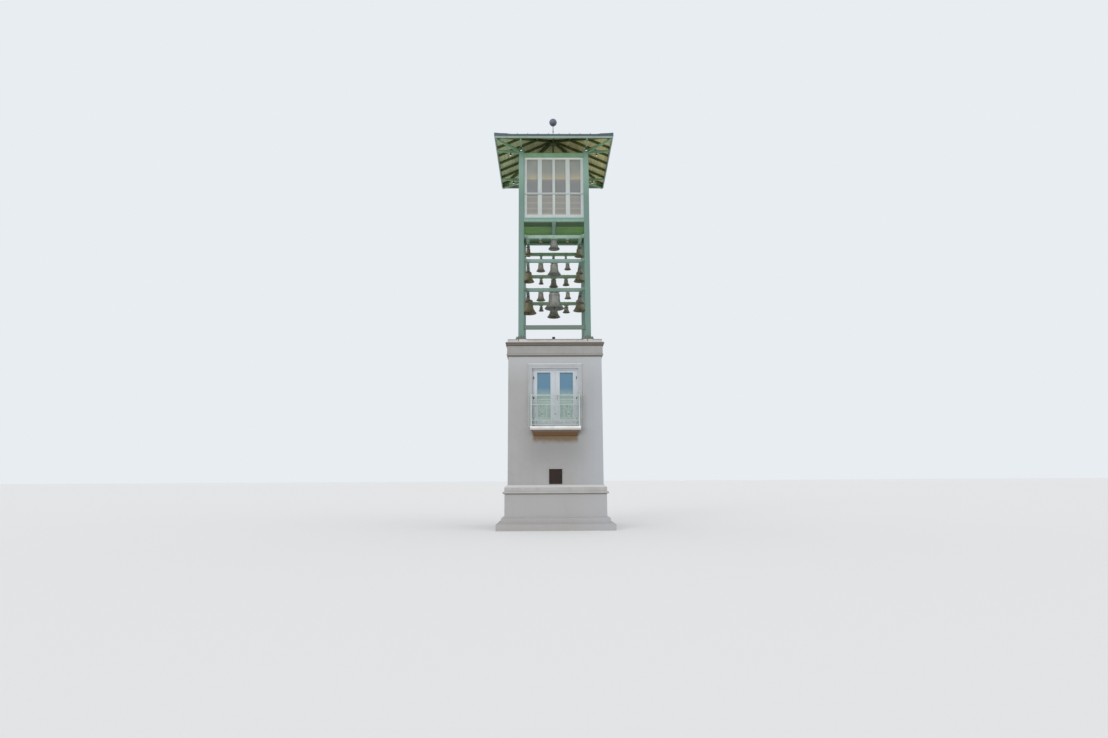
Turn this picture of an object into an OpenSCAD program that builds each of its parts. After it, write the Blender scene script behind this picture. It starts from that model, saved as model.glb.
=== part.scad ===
// Carillon bell tower: a stucco masonry base with a small balcony, an open steel
// belfry with three rings of bronze bells, a glazed box above and a hipped roof.
// Millimetres, +Z up, front towards -Y, origin on the ground at the tower's centre.

/* [Masonry base] */
// width of the square shaft over the stucco
shaft_w = 3440; // [3000:10:4000]
// thickness of the masonry walls
wall_t = 250; // [180:10:350]
// height of the walls under the cornice
wall_h = 6640; // [6000:10:8000]
// how far the plinth stands out from the shaft
plinth_out = 104; // [60:2:160]
// height of the plinth under its cap
plinth_h = 1261; // [1000:1:1600]
// how far the lowest course stands out from the shaft
course_out = 389; // [300:1:450]
// height of the lowest course
course_h = 213; // [150:1:260]
// how far the frieze stands out from the shaft
frieze_out = 44; // [20:1:80]
// height of the frieze band
frieze_h = 292; // [200:1:400]
// how far the cornice stands out from the shaft
cornice_out = 102; // [80:1:200]
// height of the cornice moulding and the top slab over it
cornice_h = 175; // [140:1:260]
// thickness of the slab edge that shows over the cornice
deck_edge_h = 75; // [50:1:120]

/* [Balcony and door] */
// height of the upper floor, which is the sill of the glazed door
floor_z = 3650; // [3000:10:4000]
// thickness of the upper floor
floor_t = 150; // [100:10:250]
// clear width of the doorway
door_w = 1708; // [1400:2:2000]
// clear height of the doorway
door_h = 2150; // [1900:10:2400]
// depth of the door behind the wall face
door_reveal = 60; // [30:5:120]
// width of the stucco band round the doorway
surround_w = 123; // [80:1:180]
// how far the stucco band stands out from the wall
surround_t = 22; // [10:1:40]
// length of the balcony slab
balcony_w = 1820; // [1500:10:2200]
// how far the balcony slab stands out from the wall
balcony_out = 330; // [250:10:600]
// thickness of the balcony slab at its edge
balcony_t = 130; // [80:5:200]
// height of the balcony handrail over the slab
rail_h = 1140; // [900:10:1200]
// size of the plaque
plaque_size = [470, 534]; // [300:1:700]

/* [Belfry] */
// outside width of the belfry frame
belfry_w = 2740; // [2400:10:3200]
// width of a corner post
post_w = 206; // [150:2:260]
// corner radius of a post
post_r = 22; // [5:1:40]
// height of the posts' heads over the top slab
post_rise = 7733; // [7000:1:9000]
// height of the pads that carry the post feet
pad_h = 80; // [40:5:200]
// width of a post's foot plate
foot_w = 390; // [300:5:460]
// thickness of a post's foot plate
foot_t = 40; // [20:2:60]
// top of the lowest rail between the posts, over the top slab
base_rail_rise = 633; // [400:1:1000]
// height and depth of the lowest rail
base_rail = [152, 102]; // [80:1:200]
// distance of a bell bar's middle from the posts' inner faces
ring_inset = 134; // [90:2:250]
// width and height of a bell bar
bar_w = 118; // [80:2:160]
// width of an outrigger under the eaves
outrigger_w = 46; // [30:1:80]
// top of each ring of bell bars over the top slab, from the lowest up
ring_rises = [2149, 3313, 4286]; // [1800:1:5000]
// length of the hanger between a bar and a bell
hanger_h = 70; // [40:5:120]
// distance of the small bells from the middle of their side
small_bell_x = 520; // [400:10:650]

/* [Bells] */
// rim sizes on the lowest ring: side by side, left, middle and right as seen from outside
bells_bottom = [[354, 752, 266], [330, 540, 240], [308, 548, 224], [240, 662, 250]]; // [140:1:800]
// rim sizes on the middle ring
bells_middle = [[348, 522, 267], [273, 475, 220], [297, 385, 226], [210, 491, 210]]; // [140:1:600]
// rim sizes on the top ring
bells_top = [[179, 448, 168], [163, 385, 160], [165, 200, 165], [160, 279, 160]]; // [140:1:500]
// height of a bell as a share of its rim
bell_tall = 0.82; // [0.7:0.01:0.95]
// wall thickness of a bell at its waist as a share of its rim
bell_wall = 0.035; // [0.03:0.001:0.05]
// radial clearance of a clapper's eye on its pin
pin_gap = 0.4; // [0.2:0.1:0.8]

/* [Glazed box] */
// height of the sill frame's underside over the top slab
sill_rise = 4740; // [4500:1:5400]
// height of the sill beams
sill_h = 152; // [120:1:200]
// distance of the head beams' underside from the posts' heads
head_drop = 313; // [250:1:500]
// height of the head beams
head_h = 160; // [100:1:200]
// depth of the glazing frames
screen_t = 50; // [35:1:80]
// half width of the middle mullion, then the near and far edge of the wide one
mullions = [41, 475, 620]; // [20:1:900]
// height of the transom over the sill beam, and its depth
transom = [990, 62]; // [500:1:1500]

/* [Roof] */
// width of the square eaves
eaves_w = 4528; // [4000:8:5200]
// rise of the roof for each unit of run
pitch = 0.445; // [0.35:0.005:0.6]
// height of the fascia board
fascia_h = 127; // [90:1:200]
// thickness of the fascia board
fascia_t = 45; // [25:1:60]
// spacing of the rafters
rafter_step = 660; // [500:10:800]
// width and depth of a rafter
rafter = [50, 100]; // [30:1:150]
// thickness of the deck boards
deck_t = 22; // [15:1:40]
// thickness of the metal covering with its battens
cover_t = 24; // [10:1:40]
// how far the covering reaches past the fascia, and the height of the drip edge under it
drip = [12, 46]; // [8:1:80]
// width of a hip cap and its thickness over the covering
hip_cap = [500, 30]; // [10:5:600]
// radius of the finial ball
ball_r = 155; // [100:1:200]
// height of the ball's centre over the roof's peak
ball_rise = 738; // [400:1:1200]

/* [Hidden] */
fit = 0.3;
shaft = shaft_w / 2;
inner = shaft - wall_t;
cap_z = plinth_h;
band_z = wall_h - frieze_h;
deck_z = wall_h + cornice_h;
top_z = deck_z + deck_edge_h;
post_in = belfry_w / 2 - post_w;
post_c = belfry_w / 2 - post_w / 2;
foot_z = top_z + pad_h;
post_top = top_z + post_rise;
base_rail_top = top_z + base_rail_rise;
ring_half = post_in - ring_inset;
ring_tops = [for (r = ring_rises) top_z + r];
sill_z = top_z + sill_rise;
head = [post_top - head_drop, head_h];
eaves = eaves_w / 2;
fascia_top = post_top + fascia_h;
cover_half = eaves + drip[0];
cover_low = fascia_top + deck_t - pitch * (fascia_t + drip[0]);
cover_z = cover_low + cover_t + pitch * drip[0];
peak_z = cover_z + pitch * cover_half;
ball_z = peak_z + ball_rise;
door_y = -shaft + door_reveal;
door_frame_w = 60;
leaf_w = door_w / 2 - door_frame_w;
leaf_t = 50;
leaf_z = floor_z + 15;
leaf_h = door_h - 15 - door_frame_w;
stile = 122;
meeting = 158;
bottom_rail = 250;
top_rail = 70;
green = [0.55, 0.69, 0.61];
stucco = [0.74, 0.72, 0.70];
trim = [0.80, 0.79, 0.77];
bronze = [0.42, 0.38, 0.33];
paint = [0.82, 0.84, 0.84];
metal = [0.30, 0.35, 0.38];

// SHAPES THAT REPEAT

// a square block whose side follows a list of [half width, height] from the bottom up
module stack(steps) {
    outline = concat(steps, [for (i = [len(steps) - 1:-1:0]) [-steps[i][0], steps[i][1]]]);
    reach = 2 * max([for (s = steps) s[0]]) + 10;
    intersection() {
        rotate([90, 0, 0]) linear_extrude(reach, center = true) polygon(outline);
        rotate([90, 0, 90]) linear_extrude(reach, center = true) polygon(outline);
    }
}

// the same block with a square well through it
module stack_ring(steps, well) {
    low = steps[0][1];
    high = steps[len(steps) - 1][1];
    difference() {
        stack(steps);
        translate([-well, -well, low - 1]) cube([2 * well, 2 * well, high - low + 2]);
    }
}

// a half round of a moulding, as steps from its lower to its upper edge
function nose(half, z, r) = [for (a = [-90:22.5:90]) [half + r * cos(a), z + r * sin(a)]];

module box(x0, x1, y0, y1, z0, z1) {
    translate([x0, y0, z0]) cube([x1 - x0, y1 - y0, z1 - z0]);
}

// four bars that form a square frame, mitred by their union
module square_frame(half, w, z, h) {
    difference() {
        box(-half, half, -half, half, z, z + h);
        box(-half + w, half - w, -half + w, half - w, z - 1, z + h + 1);
    }
}

module quarter_turns() {
    for (k = [0:3]) rotate([0, 0, 90 * k]) children();
}

// everything in front of the two front hips, short of each hip by a gap
module front_sector(gap) {
    y = -gap * sqrt(2);
    linear_extrude(2 * post_top) polygon([[0, y], [-2 * eaves, y - 2 * eaves], [2 * eaves, y - 2 * eaves]]);
}

// MASONRY BASE

module plinth() {
    p = shaft + plinth_out;
    c = shaft + course_out;
    s = shaft + course_out - 173;
    color(stucco) stack_ring([[c, 0], [c, course_h], [s, course_h + 69],
        [s, course_h + 200], [p, course_h + 255], [p, plinth_h]], shaft);
}

module plinth_cap() {
    p = shaft + plinth_out;
    color(trim) stack_ring(concat([[p + 8, cap_z]], nose(p + 30, cap_z + 44, 40),
        [[p + 8, cap_z + 88], [p + 8, cap_z + 231], [shaft + 12, cap_z + 311]]), shaft);
}

module wall(length) {
    translate([-length / 2, -shaft, 0]) cube([length, wall_t, wall_h]);
}

module front_wall() {
    color(stucco) difference() {
        wall(shaft_w);
        box(-door_w / 2, door_w / 2, -shaft - 1, -inner + 1, floor_z, floor_z + door_h);
    }
}
module back_wall() { color(stucco) rotate([0, 0, 180]) wall(shaft_w); }
module right_wall() { color(stucco) rotate([0, 0, 90]) wall(shaft_w - 2 * wall_t); }
module left_wall() { color(stucco) rotate([0, 0, -90]) wall(shaft_w - 2 * wall_t); }

module frieze() {
    f = shaft + frieze_out;
    z = band_z - 113;
    color(stucco) stack_ring(concat([[shaft + 20, z]], nose(f - 12, z + 78, 33),
        [[f, band_z], [f, wall_h]]), shaft);
}

module cornice() {
    b = shaft + frieze_out + 26;
    c = shaft + cornice_out;
    color(trim) stack_ring([[b, wall_h], [b, wall_h + 78], [c, wall_h + 84],
        [c, wall_h + 116], [shaft + 24, wall_h + cornice_h]], inner);
}

module roof_deck() {
    e = shaft + 23;
    color(trim) {
        box(-inner, inner, -inner, inner, wall_h, deck_z);
        difference() {
            box(-e, e, -e, e, deck_z, top_z);
            box(-inner, inner, -inner, inner, deck_z - 1, deck_z);
        }
        quarter_turns() translate([post_c, post_c, top_z + pad_h / 2])
            cube([foot_w - 60, foot_w - 60, pad_h], center = true);
    }
}

module upper_floor() {
    color([0.6, 0.58, 0.55])
        box(-inner, inner, -inner, inner, floor_z - floor_t, floor_z);
}

// DOOR AND BALCONY

module door_band(w, h, d) {
    difference() {
        box(-door_w / 2 - w, door_w / 2 + w, -shaft - d, -shaft, floor_z, floor_z + h + w);
        box(-door_w / 2, door_w / 2, -shaft - d - 1, -shaft + 1, floor_z - 1, floor_z + h);
    }
}

module door_surround() {
    color(trim) {
        door_band(surround_w, door_h, surround_t);
        difference() {
            door_band(surround_w, door_h, surround_t + 16);
            door_band(surround_w - 42, door_h, surround_t + 60);
        }
    }
}

module door_frame() {
    color(paint) difference() {
        box(-door_w / 2, door_w / 2, door_y, door_y + 110, floor_z, floor_z + door_h);
        box(-leaf_w, leaf_w, door_y - 1, door_y + 111, leaf_z, leaf_z + leaf_h);
        // the stop that the leaves close against
        box(-leaf_w - 12, leaf_w + 12, door_y - 1, door_y + 30, leaf_z, leaf_z + leaf_h + 12);
    }
}

// one leaf, hinged on its left side; the glass lies in the opening
module leaf() {
    difference() {
        box(0, leaf_w - 3, 0, leaf_t, 3, leaf_h - 3);
        box(stile, leaf_w - meeting, -1, leaf_t + 1, bottom_rail, leaf_h - top_rail);
    }
}

module door_leaves() {
    color(paint) for (m = [0, 1]) mirror([m, 0, 0])
        translate([-leaf_w + fit, door_y + 34, leaf_z]) leaf();
}

module door_glass() {
    color([0.45, 0.62, 0.72, 0.5]) for (m = [0, 1]) mirror([m, 0, 0])
        translate([-leaf_w + 2 * fit + stile, door_y + 54, leaf_z + bottom_rail + fit])
            cube([leaf_w - stile - meeting - 2 * fit, 10, leaf_h - top_rail - bottom_rail - 2 * fit]);
}

module balcony_slab() {
    half = balcony_w / 2;
    y = -shaft;
    color(trim) {
        box(-half, half, y - balcony_out, y, floor_z - balcony_t, floor_z - 20);
        box(-half - 8, half + 8, y - balcony_out - 8, y, floor_z - 45, floor_z);
        // the cove below the slab, cut back at its ends and its foot
        intersection() {
            rotate([90, 0, 90]) linear_extrude(2 * half - 90, center = true) polygon([
                [y, floor_z - balcony_t], [y - balcony_out + 50, floor_z - balcony_t],
                [y - balcony_out + 120, floor_z - balcony_t - 60],
                [y - 60, floor_z - balcony_t - 190], [y, floor_z - balcony_t - 210]]);
            rotate([90, 0, 0]) linear_extrude(6 * shaft, center = true) polygon([
                [-half + 50, floor_z - balcony_t], [half - 50, floor_z - balcony_t],
                [half - 130, floor_z - balcony_t - 220], [-half + 130, floor_z - balcony_t - 220]]);
        }
    }
}

// a flat bar between two points, drawn flat
module flat_bar(a, b, w) {
    d = b - a;
    translate(a) rotate(-atan2(d[0], d[1])) translate([-w / 2, 0]) square([w, norm(d) + w / 3]);
}

// one bay of the railing: a V of flat bars over a short inverted V, between two uprights
module railing_bay(w, low, high) {
    cross = low + (high - low) * 0.31;
    bar = 16;
    rotate([90, 0, 0]) linear_extrude(14, center = true) {
        for (s = [-1, 1]) {
            flat_bar([s * (w - bar) / 2, low], [s * (w - bar) / 2, high], bar);
            flat_bar([0, cross], [s * (w / 2 - 1.6 * bar), high], bar - 3);
            flat_bar([0, cross], [s * w / 5, low], bar - 3);
        }
        flat_bar([0, low], [0, high], bar - 4);
    }
}

// a turned knob on a post's head
module knob(r) {
    rotate_extrude($fn = 48) polygon(concat([[0, -1], [0.45 * r, -1]],
        [for (a = [-60:15:75]) [r * cos(a), r * (1.25 + sin(a))]], [[0, r * (1.25 + sin(75))]]));
}

module balcony_railing() {
    half = balcony_w / 2 - 40;
    y = -shaft - balcony_out + 40;
    back = -shaft - surround_t;
    z = floor_z;
    levels = [[70, 18], [238, 26], [300, 18], [800, 26], [880, 18], [970, 16], [rail_h, 34]];
    low = z + levels[2][0];
    high = z + levels[3][0] - levels[3][1] / 2;
    bay = 0.391 * half;
    pin_step = half / 7.25;
    color([0.67, 0.77, 0.71]) {
        // the front
        for (l = levels) translate([0, y, z + l[0] - l[1] / 2])
            cube([2 * half, 28, l[1]], center = true);
        for (s = [-1, 0, 1]) translate([s * 0.544 * half, y, 0]) railing_bay(bay, low - 10, high);
        for (i = [-6:6]) translate([i * pin_step, y, z + 64]) cylinder(r = 9, h = 154, $fn = 16);
        for (s = [-1, 1]) {
            // corner posts and the returns to the wall
            translate([s * half - 23, y - 23, z]) cube([46, 46, rail_h + 12]);
            translate([s * half, y, z + rail_h + 12]) knob(28);
            for (l = levels) translate([s * half, (y + back) / 2, z + l[0] - l[1] / 2])
                cube([26, back - y, l[1]], center = true);
            for (t = [0.25, 0.5, 0.75]) translate([s * half, y + t * (back - y), z + 60])
                cylinder(r = 8, h = rail_h - 80, $fn = 16);
        }
    }
}

module plaque() {
    w = plaque_size[0];
    h = plaque_size[1];
    color([0.35, 0.26, 0.24]) translate([0, -shaft, cap_z + 343]) {
        box(-w / 2, w / 2, -22, 0, 0, h);
        difference() {
            box(-w / 2, w / 2, -34, 0, 0, h);
            box(-w / 2 + 24, w / 2 - 24, -60, 1, 24, h - 24);
        }
    }
}

// BELFRY FRAME

module post_section(w, r) {
    translate([-w / 2 + r, -w / 2]) square([w - 2 * r, w]);
    translate([-w / 2, -w / 2 + r]) square([w, w - 2 * r]);
    for (x = [-1, 1], y = [-1, 1]) translate([x * (w / 2 - r), y * (w / 2 - r)]) circle(r = r, $fn = 32);
}

module corner_post(x, y) {
    color(green) translate([x * post_c, y * post_c, 0]) {
        translate([0, 0, foot_z]) linear_extrude(post_top - foot_z) post_section(post_w, post_r);
        translate([-foot_w / 2, -foot_w / 2, foot_z]) cube([foot_w, foot_w, foot_t]);
        // stiffeners on the foot plate, and anchor bolts with nuts at its corners
        for (k = [0:3]) rotate([0, 0, 90 * k]) {
            translate([-8, 0, 0]) rotate([90, 0, 90]) linear_extrude(16) polygon([
                [-post_w / 2 + 5, foot_z + foot_t - 1], [-foot_w / 2 + 12, foot_z + foot_t - 1],
                [-foot_w / 2 + 12, foot_z + foot_t + 15], [-post_w / 2 + 5, foot_z + foot_t + 110]]);
            translate([foot_w / 2 - 42, foot_w / 2 - 42, foot_z + foot_t - 1]) {
                cylinder(r = 24, h = 24, $fn = 6);
                cylinder(r = 13, h = 62, $fn = 24);
            }
        }
    }
}
module front_left_post() { corner_post(-1, -1); }
module front_right_post() { corner_post(1, -1); }
module back_left_post() { corner_post(-1, 1); }
module back_right_post() { corner_post(1, 1); }

module base_rails() {
    color(green) quarter_turns() translate([-post_in, -post_c - base_rail[1] / 2, base_rail_top - base_rail[0]])
        cube([2 * post_in, base_rail[1], base_rail[0]]);
}

// a ring of four bell bars, its corner struts to the posts, and the hangers of its bells
module bell_ring(top, sizes) {
    z = top - bar_w;
    // a strut starts in the ring's corner, clear of its open middle
    start = (ring_half - bar_w / 2) * sqrt(2) + bar_w / 2;
    color(green) {
        square_frame(ring_half + bar_w / 2, bar_w, z, bar_w);
        quarter_turns() rotate([0, 0, 45]) difference() {
            translate([start, -bar_w * 0.45, z + 4])
                cube([post_c * sqrt(2) - start, bar_w * 0.9, bar_w - 8]);
            // the strut's end, cut to the corner of the post
            translate([post_c * sqrt(2), 0, 0]) rotate([0, 0, 45])
                cube([post_w + 2 * fit, post_w + 2 * fit, 4 * top], center = true);
        }
        for (k = [0:3]) rotate([0, 0, 90 * k]) for (i = [0:2])
            translate([(i - 1) * small_bell_x, -ring_half, z]) hanger(sizes[k][i]);
    }
}

// a yoke plate under the bar, the stem of the bell and the bolts above the bar
module hanger(d) {
    plate = d / 2 + 40;
    translate([-plate / 2, -bar_w * 0.35, -hanger_h / 2]) cube([plate, bar_w * 0.7, hanger_h / 2 + 1]);
    translate([0, 0, -hanger_h]) cylinder(r = 12 + d / 18, h = hanger_h, $fn = 32);
    for (s = [-1, 1]) translate([s * (plate / 2 - 16), 0, bar_w - 1]) cylinder(r = 11, h = 27, $fn = 16);
}

module bottom_ring() { bell_ring(ring_tops[0], bells_bottom); }
module middle_ring() { bell_ring(ring_tops[1], bells_middle); }
module top_ring() { bell_ring(ring_tops[2], bells_top); }

// BELLS

// outer radius of a bell with a rim of 1 at share t of its height under the shoulder
function bell_r(t) = 0.5 * (0.56 + 0.44 * pow(1 - t, 3.1));
function bell_t(t) = bell_wall + 0.038 * pow(1 - t, 3.5);
shoulder = 0.735;
lip = 0.012;

// outer radius at a height over the lip
function bell_at(z) = bell_r((z - lip) / (shoulder - lip));

// a raised band around the outside at a height
function band(z) = [[bell_at(z - 0.012), z - 0.012], [bell_at(z) + 0.008, z - 0.005],
    [bell_at(z) + 0.008, z + 0.005], [bell_at(z + 0.012), z + 0.012]];

// a bell's outline from the lip up the outside to the crown and down the inside
function bell_outline(d, n, bands) = d * concat(
    [[0.5 - bell_t(0), 0], [0.492, 0]],
    [for (i = [0:n]) let (z = lip + i / n * (shoulder - lip))
        each (bands && (i == 2 || i == n - 1)) ? band(z) : [[bell_at(z), z]]],
    [for (a = [22.5:22.5:90]) [0.2 + 0.08 * cos(a), shoulder + (bell_tall - shoulder) * sin(a)]],
    [[0, bell_tall], [0, bell_tall - bell_wall]],
    [for (a = [90:-30:30]) [0.2 + (0.08 - bell_wall) * cos(a),
        shoulder + (bell_tall - bell_wall - shoulder) * sin(a)]],
    [for (i = [n:-1:0]) let (t = i / n) [bell_r(t) - bell_t(t), lip + t * (shoulder - lip)]]);

module bell_body(d, n = 10, bands = true) {
    rotate_extrude($fn = 64) polygon(bell_outline(d, n, bands));
}

// the staple inside the crown that a clapper hangs from
function staple_z(d) = d * (bell_tall - bell_wall - 0.09);

module staple(d) {
    top = d * (bell_tall - bell_wall) + 2;
    for (s = [-1, 1]) translate([s * d * 0.048 - d * 0.01, -d * 0.035, staple_z(d) - d * 0.035])
        cube([d * 0.02, d * 0.07, top - staple_z(d) + d * 0.035]);
    translate([-d * 0.055, 0, staple_z(d)]) rotate([0, 90, 0]) cylinder(r = d * 0.014, h = d * 0.11, $fn = 32);
}

// a clapper about its own pin, hanging down
module clapper(d) {
    arm = staple_z(d) - 0.075 * d;
    difference() {
        union() {
            rotate([0, 90, 0]) cylinder(r = d * 0.034, h = d * 0.06, center = true, $fn = 32);
            translate([0, 0, -arm]) cylinder(r1 = d * 0.022, r2 = d * 0.015, h = arm - d * 0.02, $fn = 32);
            translate([0, 0, -arm]) sphere(r = d * 0.062, $fn = 48);
            translate([0, 0, -arm - 0.155 * d]) cylinder(r1 = d * 0.018, r2 = d * 0.026, h = 0.12 * d, $fn = 32);
        }
        rotate([0, 90, 0]) cylinder(r = d * 0.014 + pin_gap, h = d, center = true, $fn = 32);
    }
}

module at_bell(ring, side, i, d) {
    rotate([0, 0, 90 * side]) translate([(i - 1) * small_bell_x, -ring_half,
        ring_tops[ring] - bar_w - hanger_h - bell_tall * d]) children();
}

// a bell whose clapper swings
module great_bell(side) {
    d = bells_bottom[side][1];
    color(bronze) at_bell(0, side, 1, d) {
        bell_body(d);
        staple(d);
    }
}

// a bell with its clapper hanging at rest just under the crown
module still_bell(ring, side, i, d, n = 10, bands = true) {
    stem_top = d * (bell_tall - bell_wall) - 1.5 * fit;
    at_bell(ring, side, i, d) {
        bell_body(d, n, bands);
        translate([0, 0, d * 0.075]) cylinder(r1 = d * 0.022, r2 = d * 0.015, h = stem_top - d * 0.075, $fn = 24);
        translate([0, 0, d * 0.075]) sphere(r = d * 0.062, $fn = 32);
        translate([0, 0, -d * 0.02]) cylinder(r = d * 0.016, h = d * 0.09, $fn = 24);
    }
}

module bottom_front_bell() { great_bell(0); }
module bottom_right_bell() { great_bell(1); }
module bottom_back_bell() { great_bell(2); }
module bottom_left_bell() { great_bell(3); }
module middle_front_bell() { color(bronze) still_bell(1, 0, 1, bells_middle[0][1]); }
module middle_right_bell() { color(bronze) still_bell(1, 1, 1, bells_middle[1][1]); }
module middle_back_bell() { color(bronze) still_bell(1, 2, 1, bells_middle[2][1]); }
module middle_left_bell() { color(bronze) still_bell(1, 3, 1, bells_middle[3][1]); }
module top_front_bell() { color(bronze) still_bell(2, 0, 1, bells_top[0][1]); }
module top_right_bell() { color(bronze) still_bell(2, 1, 1, bells_top[1][1]); }
module top_back_bell() { color(bronze) still_bell(2, 2, 1, bells_top[2][1]); }
module top_left_bell() { color(bronze) still_bell(2, 3, 1, bells_top[3][1]); }

module small_bells(ring, sizes) {
    color(bronze) for (k = [0:3], i = [0, 2]) still_bell(ring, k, i, sizes[k][i], 7, false);
}
module bottom_small_bells() { small_bells(0, bells_bottom); }
module middle_small_bells() { small_bells(1, bells_middle); }
module top_small_bells() { small_bells(2, bells_top); }

module hung_clapper(side) {
    d = bells_bottom[side][1];
    color([0.25, 0.24, 0.23]) at_bell(0, side, 1, d) translate([0, 0, staple_z(d)]) clapper(d);
}
module front_clapper() { hung_clapper(0); }
module right_clapper() { hung_clapper(1); }
module back_clapper() { hung_clapper(2); }
module left_clapper() { hung_clapper(3); }

// GLAZED BOX

// edge beams between the posts, the main beam from front to back and four joists
module sill_frame() {
    beam = 90;
    inside = belfry_w / 2 - 8 - beam - fit;
    flange = 72;
    color(green) {
        quarter_turns() translate([-post_in, -belfry_w / 2 + 8, sill_z])
            cube([2 * post_in, beam, sill_h]);
        main_beam(inside, flange);
        for (s = [-1, 1], x = [-1, 1]) translate([x * (inside + flange + fit) / 2, s * post_in / 2, sill_z + 84])
            cube([inside - flange - fit, 44, 24], center = true);
    }
}

// an I-beam along Y
module main_beam(half, flange) {
    translate([0, 0, sill_z + 2]) {
        translate([-flange, -half, 0]) cube([2 * flange, 2 * half, 12]);
        translate([-6, -half, 0]) cube([12, 2 * half, 94]);
        translate([-flange, -half, 82]) cube([2 * flange, 2 * half, 12]);
    }
}

module belfry_ceiling() {
    half = belfry_w / 2 - 8 - 90;
    color([0.36, 0.52, 0.30]) difference() {
        box(-half, half, -half, half, sill_z + 96, sill_z + sill_h - 20);
        quarter_turns() box(post_in - fit, half + 1, post_in - fit, half + 1, sill_z, sill_z + sill_h);
    }
}

// head beams between the posts and the tapered outriggers that carry the eaves
module head_frame() {
    top = post_top;
    color(green) {
        quarter_turns() translate([-post_in, -belfry_w / 2 + 8, head[0]])
            cube([2 * post_in, 110, head[1]]);
        difference() {
            quarter_turns() {
                for (s = [-1, 1]) translate([s * post_c, 0, 0])
                    outrigger(-post_c, -eaves + fascia_t, outrigger_w);
                rotate([0, 0, 45]) outrigger(-post_c * sqrt(2),
                    -(eaves - fascia_t) * sqrt(2) + outrigger_w / 2, outrigger_w);
            }
            quarter_turns() translate([post_c, post_c, head[0] - head[1]])
                linear_extrude(3 * head[1] + post_top - head[0]) post_section(post_w + 0.2, post_r);
        }
    }
}

// a tapered arm along -Y from the post to the eaves, with its web between two flanges
module outrigger(y0, y1, w) {
    translate([-w / 2, 0, 0]) rotate([90, 0, 90]) linear_extrude(w) polygon([
        [y0, post_top], [y1, post_top], [y1, post_top - 55], [y0, post_top - 145]]);
}

// the frame of one glazed side, with two rows of four panes
module screen_openings() {
    low = sill_z + sill_h;
    side = post_in - 104;
    columns = [[-side, -mullions[2]], [-mullions[1], -mullions[0]], [mullions[0], mullions[1]],
        [mullions[2], side]];
    rows = [[low + 150, low + transom[0]], [low + transom[0] + transom[1], head[0] - 75]];
    for (c = columns, r = rows) translate([c[0], 0, r[0]])
        pane(c[1] - c[0], r[1] - r[0], $gap = $gap, $depth = $depth);
}

module pane(w, h) {
    translate([$gap, -$depth / 2, $gap]) cube([w - 2 * $gap, $depth, h - 2 * $gap]);
}

module glazing_frames() {
    low = sill_z + sill_h;
    color(paint) quarter_turns() translate([0, -post_c, 0]) {
        difference() {
            box(-post_in, post_in, -screen_t / 2, screen_t / 2, low, head[0]);
            screen_openings($gap = 0, $depth = screen_t + 2);
        }
    }
}

module glazing_panes() {
    color([0.55, 0.58, 0.56, 0.6]) quarter_turns() translate([0, -post_c, 0])
        screen_openings($gap = fit, $depth = 8);
}

// tilted blades between two stiles, which show behind the lower panes
module louvres() {
    low = sill_z + sill_h;
    half = post_in - 220;
    stile_w = 30;
    color([0.70, 0.68, 0.62]) quarter_turns() translate([0, -post_c + screen_t / 2, low]) {
        for (z = [430:240:1200]) translate([0, 42, z]) rotate([35, 0, 0])
            cube([2 * half - stile_w - 2 * fit, 12, 110], center = true);
        for (s = [-1, 1]) translate([s * half - stile_w / 2, 0, 330]) cube([stile_w, 80, 900]);
    }
}

// ROOF

// everything under a roof plane that passes a height at the eaves, down to a depth below it
module under_roof(half, z, depth) {
    stack([[half, z - depth], [half, z], [0.5, z + pitch * (half - 0.5)]]);
}

// the layer between two roof planes, t apart upright, over the front slope only
module slope(half, z, t) {
    intersection() {
        difference() {
            under_roof(half, z + t, 400);
            under_roof(half + 20, z - pitch * 20, 600);
        }
        front_sector(fit);
    }
}

// hips, middle rafters and jack rafters, framed into a block under the peak
module rafters() {
    inside = eaves - fascia_t;
    top = fascia_top - 0.2;
    hip_half = rafter[0] * 0.6;
    block = 150;
    color([0.52, 0.55, 0.40]) {
        intersection() {
            under_roof(inside, top, 300);
            rotate([0, 0, 22.5]) translate([0, 0, top + pitch * inside - 200]) cylinder(r = block, h = 200, $fn = 8);
        }
        quarter_turns() difference() {
            intersection() {
                difference() {
                    under_roof(inside, top, 300);
                    under_roof(inside + 20, top - rafter[1] - pitch * 20, 600);
                }
                union() {
                    box(-rafter[0] / 2, rafter[0] / 2, -eaves, 0, post_top - 500, fascia_top + 2 * eaves);
                    rotate([0, 0, 45]) box(-hip_half, hip_half, -2 * eaves, 0, post_top - 500,
                        fascia_top + 2 * eaves);
                    intersection() {
                        for (s = [-1, 1], n = [1:3]) if (n * rafter_step < inside - 200)
                            box(s * n * rafter_step - rafter[0] / 2, s * n * rafter_step + rafter[0] / 2,
                                -eaves, 0, post_top - 500, fascia_top + 2 * eaves);
                        front_sector(hip_half + fit);
                    }
                }
            }
            rotate([0, 0, 22.5]) cylinder(r = block + 2 * fit, h = 2 * post_top, $fn = 8);
        }
    }
}

// boards on the rafters, one slab for each slope
module roof_deck_boards() {
    color([0.60, 0.60, 0.44]) quarter_turns() slope(eaves - fascia_t, fascia_top, deck_t);
}

// four boards, mitred at the corners
module fascia() {
    h = cover_low + pitch * drip[0] - 1 - post_top;
    color([0.66, 0.74, 0.67]) quarter_turns() intersection() {
        box(-eaves, eaves, -eaves, -eaves + fascia_t, post_top, post_top + h);
        front_sector(fit);
    }
}

// sheet metal, one slab for each slope
module roof_covering() {
    color(metal) quarter_turns() slope(cover_half, cover_low + fit, cover_z - cover_low - fit);
}

// the metal edge that hangs in front of the fascia
module drip_edge() {
    color(metal) quarter_turns() intersection() {
        box(-cover_half, cover_half, -cover_half, -eaves - fit, cover_low - fit - drip[1], cover_low - fit);
        front_sector(fit);
    }
}

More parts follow.
